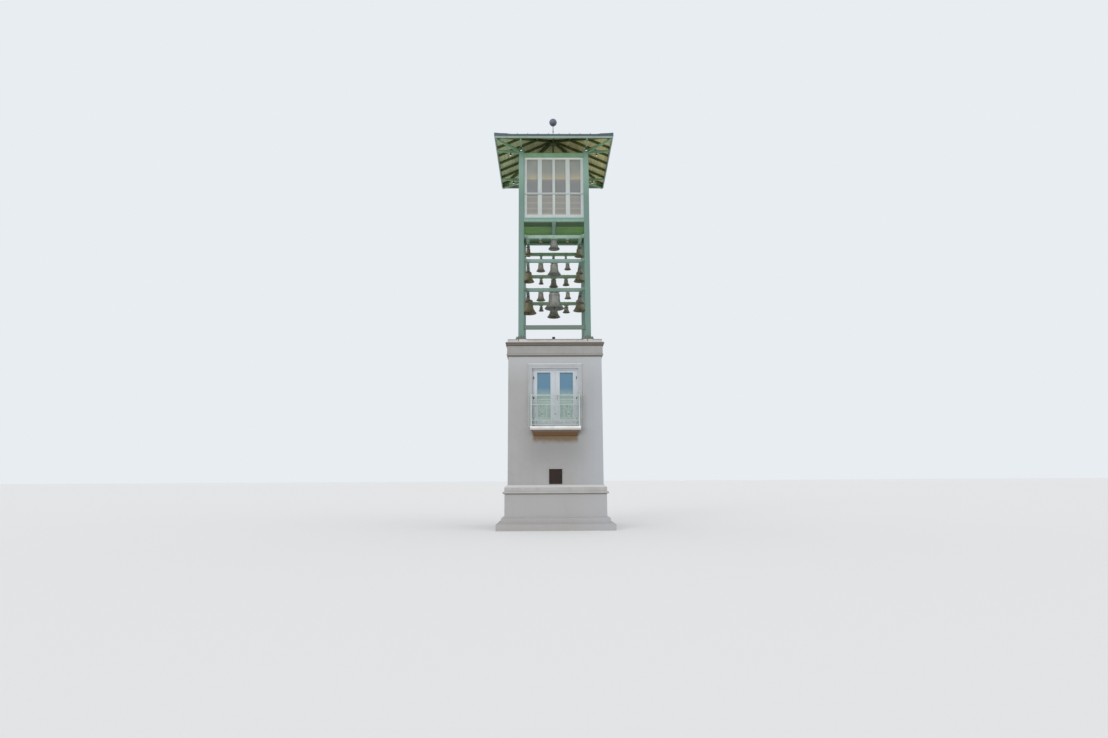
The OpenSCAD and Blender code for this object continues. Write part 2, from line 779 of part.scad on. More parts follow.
// bent sheets over the hips, each with a roll along its fold
module hip_caps() {
    roll = 22;
    reach = cover_half * sqrt(2);
    color(metal) quarter_turns() difference() {
        intersection() {
            union() {
                intersection() {
                    under_roof(cover_half, cover_z + hip_cap[1], 200);
                    rotate([0, 0, 45]) box(0, reach, -hip_cap[0] / 2, hip_cap[0] / 2, 0, 2 * post_top);
                }
                translate([0, 0, peak_z + hip_cap[1]]) rotate([0, 0, 45])
                    rotate([0, 90 + atan(pitch / sqrt(2)), 0]) cylinder(r = roll, h = 1.1 * reach, $fn = 32);
            }
            box(fit, cover_half, fit, cover_half, 0, 2 * post_top);
        }
        under_roof(cover_half + 20, cover_z + fit - pitch * 20, 400);
        cylinder(r = 122, h = 2 * post_top, $fn = 48);
    }
}

module finial() {
    color([0.45, 0.45, 0.42]) {
        difference() {
            union() {
                translate([0, 0, peak_z - 60]) cylinder(r = 14, h = ball_z + ball_r - peak_z + 60, $fn = 32);
                translate([0, 0, peak_z - 60]) cylinder(r1 = 120, r2 = 24, h = 190, $fn = 48);
            }
            under_roof(cover_half, cover_z + fit, 600);
        }
        translate([0, 0, ball_z - ball_r - 18]) cylinder(r1 = 22, r2 = 40, h = 30, $fn = 32);
        translate([0, 0, ball_z]) sphere(r = ball_r, $fn = 64);
    }
}

plinth();
plinth_cap();
front_wall();
back_wall();
left_wall();
right_wall();
frieze();
cornice();
roof_deck();
upper_floor();
door_surround();
door_frame();
door_leaves();
door_glass();
balcony_slab();
balcony_railing();
plaque();
front_left_post();
front_right_post();
back_left_post();
back_right_post();
base_rails();
bottom_ring();
middle_ring();
top_ring();
bottom_front_bell();
bottom_right_bell();
bottom_back_bell();
bottom_left_bell();
middle_front_bell();
middle_right_bell();
middle_back_bell();
middle_left_bell();
top_front_bell();
top_right_bell();
top_back_bell();
top_left_bell();
bottom_small_bells();
middle_small_bells();
top_small_bells();
front_clapper();
right_clapper();
back_clapper();
left_clapper();
sill_frame();
belfry_ceiling();
head_frame();
glazing_frames();
glazing_panes();
louvres();
rafters();
roof_deck_boards();
fascia();
roof_covering();
drip_edge();
hip_caps();
finial();
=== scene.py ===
import math

import bmesh
import bpy
from mathutils import Matrix, Vector


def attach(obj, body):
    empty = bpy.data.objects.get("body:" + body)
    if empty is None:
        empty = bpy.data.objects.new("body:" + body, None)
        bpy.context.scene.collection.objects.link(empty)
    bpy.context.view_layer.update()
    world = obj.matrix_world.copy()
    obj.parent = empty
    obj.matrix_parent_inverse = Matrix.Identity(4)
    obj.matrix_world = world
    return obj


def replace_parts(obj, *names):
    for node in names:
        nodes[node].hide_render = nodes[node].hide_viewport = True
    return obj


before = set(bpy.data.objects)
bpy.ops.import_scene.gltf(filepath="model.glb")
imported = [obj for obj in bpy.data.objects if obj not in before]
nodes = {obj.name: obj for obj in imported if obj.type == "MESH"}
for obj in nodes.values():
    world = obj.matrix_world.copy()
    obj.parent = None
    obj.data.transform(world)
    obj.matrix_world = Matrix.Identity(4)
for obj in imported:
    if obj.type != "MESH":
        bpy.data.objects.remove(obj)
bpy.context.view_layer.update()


# CAMERA
# The lens is at eye height, about 26 m in front of the tower and a little to its left. It is
# a wide one, tilted up until the ball on the roof is in the frame.
scene = bpy.context.scene
frame_width_px = 1108
focal_px = 672.4
film_width_mm = 36
eye = Vector((-0.335, -26.130, 1.755))
turn_right = math.radians(0.698)
tilt_up = math.radians(9.352)
roll = math.radians(-0.320)
camera_data = bpy.data.cameras.new("camera")
camera_data.sensor_width = film_width_mm
camera_data.lens = film_width_mm * focal_px / frame_width_px
camera_data.clip_end = 3000
camera = bpy.data.objects.new("camera", camera_data)
camera.matrix_world = (Matrix.Translation(eye) @ Matrix.Rotation(-turn_right, 4, "Z")
                       @ Matrix.Rotation(math.radians(90) + tilt_up, 4, "X")
                       @ Matrix.Rotation(roll, 4, "Z"))
scene.collection.objects.link(camera)
scene.camera = camera
scene.view_settings.view_transform = "Standard"


# STUDIO
# A pale floor, a broad low key light from the front left and a weaker fill from the right.
# The tower stands in open shade, so an even sky gives most of the light.
def srgb(red, green, blue):
    """a colour as it looks on screen, 0 to 255, as the linear colour that a shader takes"""
    def linear(v):
        v = v / 255
        return v / 12.92 if v <= 0.04045 else ((v + 0.055) / 1.055) ** 2.4
    return (linear(red), linear(green), linear(blue), 1)


def place(tree, kind, inputs=None, **settings):
    """adds a shader node, sets it up, joins or fills its inputs and hands back its outputs"""
    node = tree.nodes.new("ShaderNode" + kind)
    for name, value in settings.items():
        setattr(node, name, value)
    for name, value in (inputs or {}).items():
        if isinstance(value, bpy.types.NodeSocket):
            tree.links.new(value, node.inputs[name])
        else:
            node.inputs[name].default_value = value
    return node.outputs


def maths(tree, operation, *values, clamp=False):
    """one sum on sockets or numbers"""
    return place(tree, "Math", dict(enumerate(values)), operation=operation, use_clamp=clamp)[0]


def shader_of(material):
    """a finish's own shader"""
    return material.node_tree.nodes["Principled BSDF"]


sky_colour = srgb(232, 237, 242)
sky_strength = 0.86
world = bpy.data.worlds.new("sky")
world.use_nodes = True
scene.world = world
sky = world.node_tree
sky.nodes.clear()
rays = place(sky, "LightPath")
seen_or_mirrored = maths(sky, "MAXIMUM", rays["Is Camera Ray"], rays["Is Glossy Ray"])
seen = maths(sky, "MAXIMUM", seen_or_mirrored, rays["Is Transmission Ray"])
light_sky = place(sky, "Background", {"Color": srgb(246, 249, 255), "Strength": sky_strength})
shown_sky = place(sky, "Background", {"Color": sky_colour, "Strength": 1.0})
both_skies = place(sky, "MixShader", {0: seen, 1: light_sky[0], 2: shown_sky[0]})
place(sky, "OutputWorld", {0: both_skies[0]})

for lamp_name, strength, spread, towards in (
        ("key_light", 1.15, 35, (0.50, 0.85, -0.15)),
        ("fill_light", 0.35, 60, (-0.80, 0.45, -0.40))):
    lamp_data = bpy.data.lights.new(lamp_name, "SUN")
    lamp_data.energy = strength
    lamp_data.angle = math.radians(spread)
    lamp = bpy.data.objects.new(lamp_name, lamp_data)
    lamp.rotation_euler = Vector(towards).to_track_quat("-Z", "Y").to_euler()
    scene.collection.objects.link(lamp)

floor_size = 1600
floor_level = -0.002
bpy.ops.mesh.primitive_grid_add(x_subdivisions=8, y_subdivisions=8, size=floor_size,
                                location=(0, 0, floor_level))
floor = bpy.context.object
floor.name = "studio_floor"
floor_paint = bpy.data.materials.new("studio_floor")
floor_paint.use_nodes = True
floor_shader = shader_of(floor_paint)
floor_shader.inputs["Base Color"].default_value = srgb(238, 237, 234)
floor_shader.inputs["Roughness"].default_value = 0.95
floor_shader.inputs["Specular IOR Level"].default_value = 0.1
floor.data.materials.append(floor_paint)


# STUCCO WALLS
# Masonry walls under a hand-floated stucco coat in a warm light grey paint, mottled, finely
# cracked and streaked by rain. Dirt has splashed the lowest courses. A painted light makes the
# walls lighter and bluer to the right, and painted shade darkens the front wall under the
# balcony, brown with painted bounce light right under the slab.
def shader_group(name, inputs, outputs=("Colour",)):
    """an empty shader node group: itself, its input sockets and its end node"""
    group = bpy.data.node_groups.new(name, "ShaderNodeTree")
    kinds = {"Direction": "Vector"} | dict.fromkeys(("Colour", "Stain", "Tint", "Edge colour", "Dark"), "Color")
    for way, labels in (("INPUT", inputs), ("OUTPUT", outputs)):
        for label in labels:
            kind = "NodeSocket" + kinds.get(label, "Float")
            group.interface.new_socket(name=label, in_out=way, socket_type=kind)
    return group, group.nodes.new("NodeGroupInput").outputs, group.nodes.new("NodeGroupOutput")


def hand_out(group, end, **results):
    """joins a group's results to its outputs"""
    for label, result in results.items():
        group.links.new(result, end.inputs[label])


def object_place(tree):
    """where on the tower a point lies, in metres"""
    return place(tree, "TexCoord")["Object"]


def times(tree, one, other):
    """one value times another"""
    return maths(tree, "MULTIPLY", one, other)


def dot(tree, one, other):
    """how far one direction or place goes along another"""
    return place(tree, "VectorMath", {0: one, 1: other}, operation="DOT_PRODUCT")["Value"]


def noise(tree, spot, scale, detail, rough=0.5, distortion=0.0):
    """uneven values over a surface"""
    return place(tree, "TexNoise", {"Vector": spot, "Scale": scale, "Detail": detail, "Roughness": rough,
                                    "Distortion": distortion})["Fac"]


def ramp(tree, value, start, end, low=0.0, high=1.0, shape="LINEAR"):
    """a value that goes from low to high while another goes from start to end"""
    return place(tree, "MapRange", {"Value": value, "From Min": start, "From Max": end, "To Min": low,
                                    "To Max": high}, interpolation_type=shape)[0]


def mixed(tree, mask, under, over, blend="MIX"):
    """one colour laid over another through a mask"""
    return place(tree, "Mix", {0: mask, 6: under, 7: over}, data_type="RGBA", blend_type=blend)[2]


weather, weather_in, weather_out = shader_group(
    "weathering", ("Colour", "Stain", "Mottle", "Streak", "Patches per metre", "Grains per metre",
                   "Roughness"), ("Colour", "Roughness", "Height"))
where = object_place(weather)
patches = noise(weather, where, weather_in["Patches per metre"], 6.0, 0.62)
run_down = place(weather, "Mapping", {"Vector": where, "Scale": (7.0, 7.0, 0.28)})[0]
runs = noise(weather, run_down, 1.0, 5.0, 0.6)
mottled = times(weather, ramp(weather, patches, 0.38, 0.72), weather_in["Mottle"])
streaked = times(weather, ramp(weather, runs, 0.5, 0.78), weather_in["Streak"])
soiled = maths(weather, "ADD", mottled, streaked, clamp=True)
grains = noise(weather, where, weather_in["Grains per metre"], 3.0, 0.55)
grain_tint = ramp(weather, grains, 0.3, 0.7, 0.94, 1.03)
aged = mixed(weather, soiled, weather_in["Colour"], weather_in["Stain"])
rougher = times(weather, soiled, 0.22)
hand_out(weather, weather_out, Colour=mixed(weather, 1.0, aged, grain_tint, "MULTIPLY"),
         Roughness=maths(weather, "ADD", rougher, weather_in["Roughness"], clamp=True),
         Height=maths(weather, "ADD", grains, patches))

# a tint laid by height or place, used for dirt and stains and for painted light and shade
band, band_in, band_out = shader_group(
    "place_tint", ("Colour", "Tint", "Direction", "Free at", "Full at", "Strength", "Ragged"))
spot = object_place(band)
ragged_noise = maths(band, "SUBTRACT", noise(band, spot, 5.0, 6.0, 0.7), 0.5)
ragged_height = maths(band, "MULTIPLY_ADD", ragged_noise, band_in["Ragged"],
                      dot(band, spot, band_in["Direction"]))
band_mask = ramp(band, ragged_height, band_in["Free at"], band_in["Full at"], 0.0, band_in["Strength"])
hand_out(band, band_out, Colour=mixed(band, band_mask, band_in["Colour"], band_in["Tint"]))

wear_and_highlight, wear_and_highlight_in, wear_and_highlight_out = shader_group("edge_wear_and_highlight", ("Colour", "Edge colour", "Reach", "Amount"))
soft_edge = place(wear_and_highlight, "Bevel", {"Radius": wear_and_highlight_in["Reach"]}, samples=4)[0]
true_face = place(wear_and_highlight, "NewGeometry")["Normal"]
near_edge = ramp(wear_and_highlight, dot(wear_and_highlight, soft_edge, true_face), 0.995, 0.86)
edge_breakup = noise(wear_and_highlight, object_place(wear_and_highlight), 11.0, 5.0, 0.7)
marked_edge = times(wear_and_highlight, near_edge, ramp(wear_and_highlight, edge_breakup, 0.40, 0.62))
wear_and_highlight_mask = maths(wear_and_highlight, "MULTIPLY", marked_edge, wear_and_highlight_in["Amount"], clamp=True)
hand_out(wear_and_highlight, wear_and_highlight_out, Colour=mixed(wear_and_highlight, wear_and_highlight_mask, wear_and_highlight_in["Colour"], wear_and_highlight_in["Edge colour"]))


def weathered(name, colour, stain, mottle, streak, patch_size, grain_size, rough,
              relief=0.4, metal=0.0, shine=0.5):
    """a finish with the shared weathering; sizes in metres, relief in millimetres"""
    material = bpy.data.materials.new(name)
    material.use_nodes = True
    tree = material.node_tree
    shader = shader_of(material)
    shader.inputs["Metallic"].default_value = metal
    shader.inputs["Specular IOR Level"].default_value = shine
    worn = place(tree, "Group", {
        "Colour": srgb(*colour), "Stain": srgb(*stain), "Mottle": mottle, "Streak": streak,
        "Patches per metre": 1 / patch_size, "Grains per metre": 1 / grain_size,
        "Roughness": rough}, node_tree=weather)
    bump = place(tree, "Bump", {"Height": worn["Height"], "Strength": 1.0, "Distance": relief / 1000})
    tree.links.new(worn["Colour"], shader.inputs["Base Color"])
    tree.links.new(worn["Roughness"], shader.inputs["Roughness"])
    tree.links.new(bump[0], shader.inputs["Normal"])
    return material


def over_colour(material, group, values):
    """lays a group's effect over the colour that a finish has so far"""
    base = shader_of(material).inputs["Base Color"]
    tree = material.node_tree
    layer = place(tree, "Group", {"Colour": base.links[0].from_socket, **values}, node_tree=group)
    tree.links.new(layer["Colour"], base)


def lay_over(material, mask, colour):
    """lays a plain colour over a finish through a mask of its own"""
    base = shader_of(material).inputs["Base Color"]
    tree = material.node_tree
    tree.links.new(mixed(tree, mask, base.links[0].from_socket, srgb(*colour)), base)


def tint(material, colour, tint_free_at, full_at, strength=1.0, ragged=0.0, direction=(0, 0, 1)):
    """tints a finish between two heights, or places along a direction, up to full strength"""
    over_colour(material, band, {"Tint": srgb(*colour), "Direction": direction, "Free at": tint_free_at,
                                 "Full at": full_at, "Strength": strength, "Ragged": ragged})


def wear_and_highlight_edges(material, colour, reach=0.008, amount=0.6):
    """lays a colour along the edges: rubbed-through paint where it is rust or bare metal, a painted highlight
    where it is paler than the paint
    """
    over_colour(material, wear_and_highlight, {"Edge colour": srgb(*colour), "Reach": reach, "Amount": amount})


def crack(material, darkness, size):
    """draws broken hairline cracks through a coat of stucco"""
    tree = material.node_tree
    here = object_place(tree)
    wander = place(tree, "TexNoise", {"Vector": here, "Scale": 3.0, "Detail": 5.0})["Color"]
    bent = place(tree, "Mix", {0: 0.09, 4: here, 5: wander}, data_type="VECTOR")[1]
    cells = place(tree, "TexVoronoi", {"Vector": bent, "Scale": 1 / size}, feature="DISTANCE_TO_EDGE")
    line = ramp(tree, cells["Distance"], 0.004, 0.0, 0.0, darkness)
    unbroken = ramp(tree, noise(tree, here, 0.9, 4.0), 0.50, 0.60)
    lay_over(material, times(tree, line, unbroken), (92, 88, 84))


def coat(material, *names):
    """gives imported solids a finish"""
    for name in names:
        nodes[name].data.materials.clear()
        nodes[name].data.materials.append(material)


stucco = weathered("painted_stucco", (164, 163, 161), (150, 147, 143), 0.4, 0.25, 1.4, 0.011, 0.86,
                   relief=1.6, shine=0.25)
crack(stucco, 0.3, 1.3)
tint(stucco, (148, 138, 124), 0.5, 0.0, 0.5, 0.7)
# a painted light: the walls turn lighter and bluer towards the right
tint(stucco, (172, 176, 181), 0.5, 1.72, 0.7, 0.3, (1, 0, 0))
coat(stucco, "back_wall", "left_wall", "right_wall")
plinth_top = 1.246
plinth_stucco = stucco.copy()
plinth_stucco.name = "plinth_stucco"
tint(plinth_stucco, (173, 171, 170), 1.9, 1.8, 0.6)
# a painted shadow under the cap's nose, along the top of the plinth
tint(plinth_stucco, (120, 114, 106), plinth_top - 0.018, plinth_top, 0.7, 0.006)
# pale edges, a painted highlight along the plinth's arrises
wear_and_highlight_edges(plinth_stucco, (206, 204, 200), 0.018, 0.6)
coat(plinth_stucco, "plinth")
front_stucco = stucco.copy()
front_stucco.name = "front_stucco"
tint(front_stucco, (178, 180, 181), 5.2, 6.1, 0.7, 0.4)
tree = front_stucco.node_tree
shade_at = object_place(tree)
shade_xyz = place(tree, "SeparateXYZ", {0: shade_at})
shade_side = maths(tree, "ABSOLUTE", shade_xyz["X"])
shade_wander = 0.22
slab_foot = 3.66
wandering = maths(tree, "MULTIPLY_ADD", noise(tree, shade_at, 4.0, 6.0), shade_wander, shade_xyz["Z"])
# a broad grey painted shade on the wall under the balcony, and a narrow brown painted shade right under the
# slab, warmed by painted light bounced from the ground
for shade_tone, side_free, side_full, tint_free_at, full_at, amount in (
        ((143, 143, 141), 1.55, 0.40, 1.60, 3.00, 0.85), ((116, 96, 70), 0.88, 0.74, 3.00, 3.24, 0.9)):
    sideways = ramp(tree, shade_side, side_free, side_full, shape="SMOOTHSTEP")
    upward = ramp(tree, wandering, tint_free_at + shade_wander / 2, full_at + shade_wander / 2,
                  shape="SMOOTHSTEP")
    under_slab = ramp(tree, shade_xyz["Z"], slab_foot, slab_foot - 0.26, 0.0, amount)
    across_up = times(tree, sideways, upward)
    lay_over(front_stucco, times(tree, across_up, under_slab), shade_tone)
coat(front_stucco, "front_wall")
frieze_stucco = weathered("frieze_stucco", (157, 156, 153), (140, 136, 130), 0.45, 0.35, 0.9, 0.011, 0.88,
                          relief=1.6, shine=0.25)
# a painted shadow under the frieze's nose, along its lower edge
tint(frieze_stucco, (100, 94, 85), 6.288, 6.28, 0.85, 0.004)
coat(frieze_stucco, "frieze")


# MOULDINGS
# Run stucco mouldings: the plinth's cap, the cornice and the top slab. They were painted
# with the walls. Dirt and painted shade darken the cornice's face, while its slope and the
# slab's top keep the pale paint. A folded sheet metal strip covers the slab's edge between
# the post feet.
cap_low, cap_high = 1.280, 1.494
cap_paint = weathered("plinth_cap_paint", (179, 177, 175), (150, 146, 140), 0.45, 0.3, 0.6, 0.012,
                      0.84, relief=1.2, shine=0.25)
# the cap's sloped top is painted lighter, a painted highlight
tint(cap_paint, (203, 202, 200), cap_high - 0.006, cap_high, 0.9, 0.004)
# a painted shadow along the underside of the cap's nose
tint(cap_paint, (116, 110, 102), cap_low + 0.012, cap_low, 0.75, 0.004)
# pale edges, a painted highlight along the cap's arrises
wear_and_highlight_edges(cap_paint, (196, 194, 190), 0.012, 0.5)
coat(cap_paint, "plinth_cap")
cornice_paint = weathered("cornice_paint", (202, 198, 194), (160, 154, 146), 0.4, 0.3, 0.6, 0.012,
                          0.86, relief=1.4, shine=0.2)
cornice_nose = 6.756
# dirt and painted shade darken the cornice's face below its slope
tint(cornice_paint, (112, 105, 97), cornice_nose + 0.022, cornice_nose + 0.014, 0.95, 0.003)
# dirt and painted shadow, darkest along the cornice's foot
tint(cornice_paint, (72, 69, 63), 6.68, 6.662, 0.9, 0.02)
coat(cornice_paint, "cornice")
slab_paint = weathered("slab_paint", (202, 198, 194), (146, 140, 132), 0.5, 0.4, 0.45, 0.012, 0.88,
                       relief=1.4, shine=0.2)
coat(slab_paint, "roof_deck")


def alone(*pieces):
    """selects some pieces and nothing else"""
    bpy.ops.object.select_all(action="DESELECT")
    for piece in pieces:
        piece.select_set(True)
    bpy.context.view_layer.objects.active = pieces[0]


def block(name, low, high):
    """a block between two corners, with its place in its mesh"""
    bpy.ops.mesh.primitive_cube_add(size=1, location=[(a + b) / 2 for a, b in zip(low, high)],
                                    scale=[b - a for a, b in zip(low, high)])
    piece = bpy.context.object
    piece.name = piece.data.name = name
    bpy.ops.object.transform_apply()
    return piece


def work(piece, chosen, *steps):
    """edit-mode steps on the faces that pass a test on their middle and normal"""
    alone(piece)
    bpy.ops.object.mode_set(mode="EDIT")
    bpy.ops.mesh.select_mode(type="FACE")
    bpy.ops.mesh.select_all(action="DESELECT")
    mesh = bmesh.from_edit_mesh(piece.data)
    for face in mesh.faces:
        if chosen(face.calc_center_median(), face.normal):
            face.select_set(True)
    bmesh.update_edit_mesh(piece.data)
    for operator, settings in steps:
        operator(**settings)
    bpy.ops.object.mode_set(mode="OBJECT")


def facing(*way):
    """a test for the faces that look one way"""
    return lambda middle, out: out.dot(Vector(way)) > 0.9


def draw_out(piece, chosen, move):
    """pulls chosen faces out of a piece"""
    work(piece, chosen, (bpy.ops.mesh.extrude_region_move, {"TRANSFORM_OT_translate": {"value": move}}))


def cut(piece, point, normal, drop=True):
    """cuts a piece along a plane; what lies past it is dropped and the cut is closed"""
    work(piece, lambda middle, out: True,
         (bpy.ops.mesh.bisect, {"plane_co": point, "plane_no": normal, "use_fill": drop,
                                "clear_outer": drop}))


def rounded(piece, radius, segments=2):
    """rounds the sharp edges"""
    soften = piece.modifiers.new("rounded", "BEVEL")
    soften.width = radius
    soften.segments = segments
    soften.limit_method = "ANGLE"
    alone(piece)
    bpy.ops.object.modifier_apply(modifier="rounded")
    bpy.ops.object.shade_smooth_by_angle(angle=math.radians(40))
    return piece


def copies(piece, places):
    """the piece at each of some places, every one with its own mesh"""
    twins = []
    for spot_matrix in places:
        twin = piece.copy()
        twin.data = piece.data.copy()
        scene.collection.objects.link(twin)
        twin.matrix_world = spot_matrix
        twins.append(twin)
    bpy.data.objects.remove(piece)
    alone(*twins)
    bpy.ops.object.transform_apply()
    return twins


def joined(name, pieces):
    """one piece of several"""
    alone(*pieces)
    bpy.ops.object.join()
    pieces[0].name = pieces[0].data.name = name
    return pieces[0]


def at(*spot):
    """the place of a copy that is only moved"""
    return Matrix.Translation(spot)


quarter_turns = [Matrix.Rotation(math.radians(90 * turn), 4, "Z") for turn in range(4)]


def round_the_tower(piece):
    """the piece on all four sides, as one piece"""
    return joined(piece.name, copies(piece, quarter_turns))


def finished(piece, material):
    """gives a new piece its finish and fixes it to the tower"""
    piece.data.materials.clear()
    piece.data.materials.append(material)
    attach(piece, "tower")
    return piece


flashing_metal = weathered("flashing_metal", (150, 150, 148), (112, 112, 110), 0.6, 0.3, 0.25, 0.006, 0.5,
                           relief=0.3, metal=0.3)
wear_and_highlight_edges(flashing_metal, (186, 186, 184), 0.003, 0.6)
slab_half = 1.743
slab_top = 6.890
sheet = 0.003
foot_near, foot_far = 1.05, 1.40
strips = []
for start, end in ((-slab_half - sheet, -foot_far), (-foot_near, foot_near), (foot_far, slab_half)):
    strip = block("slab_flashing", (start, -slab_half - sheet, slab_top),
                  (end, -slab_half + 0.06, slab_top + sheet))
    cut(strip, (0, -slab_half, 0), (0, 1, 0), drop=False)
    draw_out(strip, lambda middle, out: out.z < -0.9 and middle.y < -slab_half, (0, 0, -0.034))
    # the hemmed lower edge stands off the slab
    draw_out(strip, lambda middle, out: out.y < -0.9 and middle.z < slab_top - 0.01, (0, -0.002, 0))
    strips.append(rounded(strip, 0.0008, 1))
finished(round_the_tower(joined("slab_flashing", strips)), flashing_metal)

strap_metal = weathered("earth_strap_metal", (118, 112, 100), (86, 96, 86), 0.6, 0.3, 0.1, 0.004, 0.5,
                        relief=0.2, metal=0.6)
straps = []
for middle_x in (-1.349, 1.210):
    # up the foot plate, over the slab and down its face, with a screw through the end
    for half_width, low, high in ((0.015, (-1.467, slab_top), (-1.462, 7.006)),
                                  (0.015, (-1.744, 6.893), (-1.467, 6.897)),
                                  (0.015, (-1.750, 6.817), (-1.746, 6.897)),
                                  (0.009, (-1.758, 6.846), (-1.750, 6.864))):
        straps.append(block("earth_straps", (middle_x - half_width, *low), (middle_x + half_width, *high)))
finished(rounded(joined("earth_straps", straps), 0.001, 1), strap_metal)

lamp_black = weathered("lamp_black", (44, 46, 48), (70, 70, 68), 0.5, 0.2, 0.05, 0.003, 0.45, relief=0.15)
lamp_head = block("slab_lamp", (-0.095, -1.700, 6.925), (0.009, -1.625, 6.990))
work(lamp_head, facing(0, 1, 0), (bpy.ops.mesh.inset, {"thickness": 0.008, "depth": -0.012}))
for fin in (-0.075, -0.055, -0.035, -0.015):
    cut(lamp_head, (fin, 0, 0), (1, 0, 0), drop=False)
work(lamp_head, facing(0, -1, 0),
     (bpy.ops.mesh.inset, {"thickness": 0.004, "depth": -0.010, "use_individual": True}))
lamp_foot = block("lamp_foot", (-0.103, -1.680, slab_top), (0.017, -1.645, slab_top + 0.005))
draw_out(lamp_foot, facing(0, 0, 1), (0, 0, 0.003))
lamp_ears = [block("lamp_ear", (x, -1.676, slab_top + 0.005), (x + 0.005, -1.649, 6.970))
             for x in (-0.103, 0.012)]
finished(rounded(joined("slab_lamp", [lamp_head, lamp_foot, *lamp_ears]), 0.0015), lamp_black)


# BALCONY AND SURROUND
# A raised stucco band round the door, and a cast slab on a run cove. The slab's edge is
# nearly white; painted shade darkens its face and the cove, brown with painted light bounced
# from the ground. The timber floor of the room shows behind the door.
surround_paint = weathered("surround_paint", (178, 180, 182), (160, 158, 154), 0.35, 0.25, 0.5, 0.012,
                           0.82, relief=1.0, shine=0.3)
# pale edges, a painted highlight along the surround's arrises
wear_and_highlight_edges(surround_paint, (214, 214, 212), 0.012, 0.7)
# the tops of the surround and its hood are painted lighter, a painted highlight
tint(surround_paint, (222, 223, 222), 5.95, 5.962, 0.8)
coat(surround_paint, "door_surround")
balcony_paint = weathered("balcony_paint", (236, 235, 233), (184, 172, 158), 0.35, 0.3, 0.35, 0.012,
                          0.8, relief=1.0, shine=0.3)
# painted shade on the lower part of the slab's face and on the cove below it, warmed brown by painted light
# bounced from the ground
tint(balcony_paint, (172, 168, 162), 3.602, 3.56, 0.85, 0.02)
tint(balcony_paint, (106, 92, 78), 3.524, 3.512, 0.92, 0.03)
tint(balcony_paint, (110, 80, 52), 3.475, 3.435, 0.85, 0.03)
coat(balcony_paint, "balcony_slab")


wood, wood_in, wood_out = shader_group("board_grain", ("Colour", "Dark", "Board width", "Strength"))
board_xyz = place(wood, "SeparateXYZ", {0: object_place(wood)})
size_x = maths(wood, "ABSOLUTE", board_xyz["X"])
size_y = maths(wood, "ABSOLUTE", board_xyz["Y"])
on_side = maths(wood, "GREATER_THAN", size_x, size_y)
along = place(wood, "Mix", {0: on_side, 2: board_xyz["X"], 3: board_xyz["Y"]})
across = maths(wood, "MAXIMUM", size_x, size_y)
board_number = maths(wood, "FLOOR", maths(wood, "DIVIDE", across, wood_in["Board width"]))
grain_at = place(wood, "CombineXYZ", {0: times(wood, along[0], 2.2), 1: times(wood, across, 90.0),
                                      2: board_number})[0]
fibres = noise(wood, grain_at, 1.0, 5.0, 0.65, 0.3)
grained = mixed(wood, ramp(wood, fibres, 0.42, 0.72, 0.0, wood_in["Strength"]),
                wood_in["Colour"], wood_in["Dark"])
board_mark = place(wood, "CombineXYZ", {0: board_number, 1: on_side})[0]
board_tone = place(wood, "TexWhiteNoise", {"Vector": board_mark})
tone = ramp(wood, board_tone["Value"], 0.0, 1.0, 0.90, 1.05)
hand_out(wood, wood_out, Colour=mixed(wood, 1.0, grained, tone, "MULTIPLY"))


def grain(material, dark, board_width, strength):
    """lays wood grain and the tone of each board over a finish"""
    over_colour(material, wood, {"Dark": srgb(*dark), "Board width": board_width, "Strength": strength})


floor_boards = weathered("floor_boards", (150, 134, 112), (110, 96, 80), 0.5, 0.0, 0.4, 0.02, 0.7)
grain(floor_boards, (96, 80, 62), 0.14, 0.6)
coat(floor_boards, "upper_floor")


# DOOR
# A pair of glazed timber doors in a timber frame, painted white. The glass lies between
# the leaf and a planted bead. Butt hinges, a lever, a cover strip and weather bars are
# screwed on.
white_paint = weathered("white_door_paint", (191, 197, 201), (168, 172, 174), 0.3, 0.25, 0.3, 0.004,
                        0.4, relief=0.12)
# pale edges, a painted highlight along the doors' edges
wear_and_highlight_edges(white_paint, (214, 218, 220), 0.005, 0.4)
coat(white_paint, "door_frame", "door_leaves")
# a painted reflection on the glass: sky blue over its upper part and pale green below; the glass is darker
# along its top edge
door_glass = weathered("door_glass", (190, 211, 202), (164, 184, 176), 0.4, 0.3, 0.35, 0.003, 0.05,
                       relief=0.01)
tint(door_glass, (106, 152, 180), 4.7, 5.1, 0.95, 0.16)
tint(door_glass, (70, 92, 100), 5.615, 5.64, 0.8)
shader_of(door_glass).inputs["Transmission Weight"].default_value = 0.35
shader_of(door_glass).inputs["IOR"].default_value = 1.5
coat(door_glass, "door_glass")

leaf_front = -1.626
glass_front = -1.606


def border(name, low, high, width, axis="y"):
    """a mitred frame between two corners, open through its middle along an axis"""
    piece = block(name, low, high)
    work(piece, lambda middle, out: abs(getattr(out, axis)) > 0.9,
         (bpy.ops.mesh.inset, {"thickness": width, "use_individual": True}),
         (bpy.ops.mesh.bridge_edge_loops, {}))
    return piece


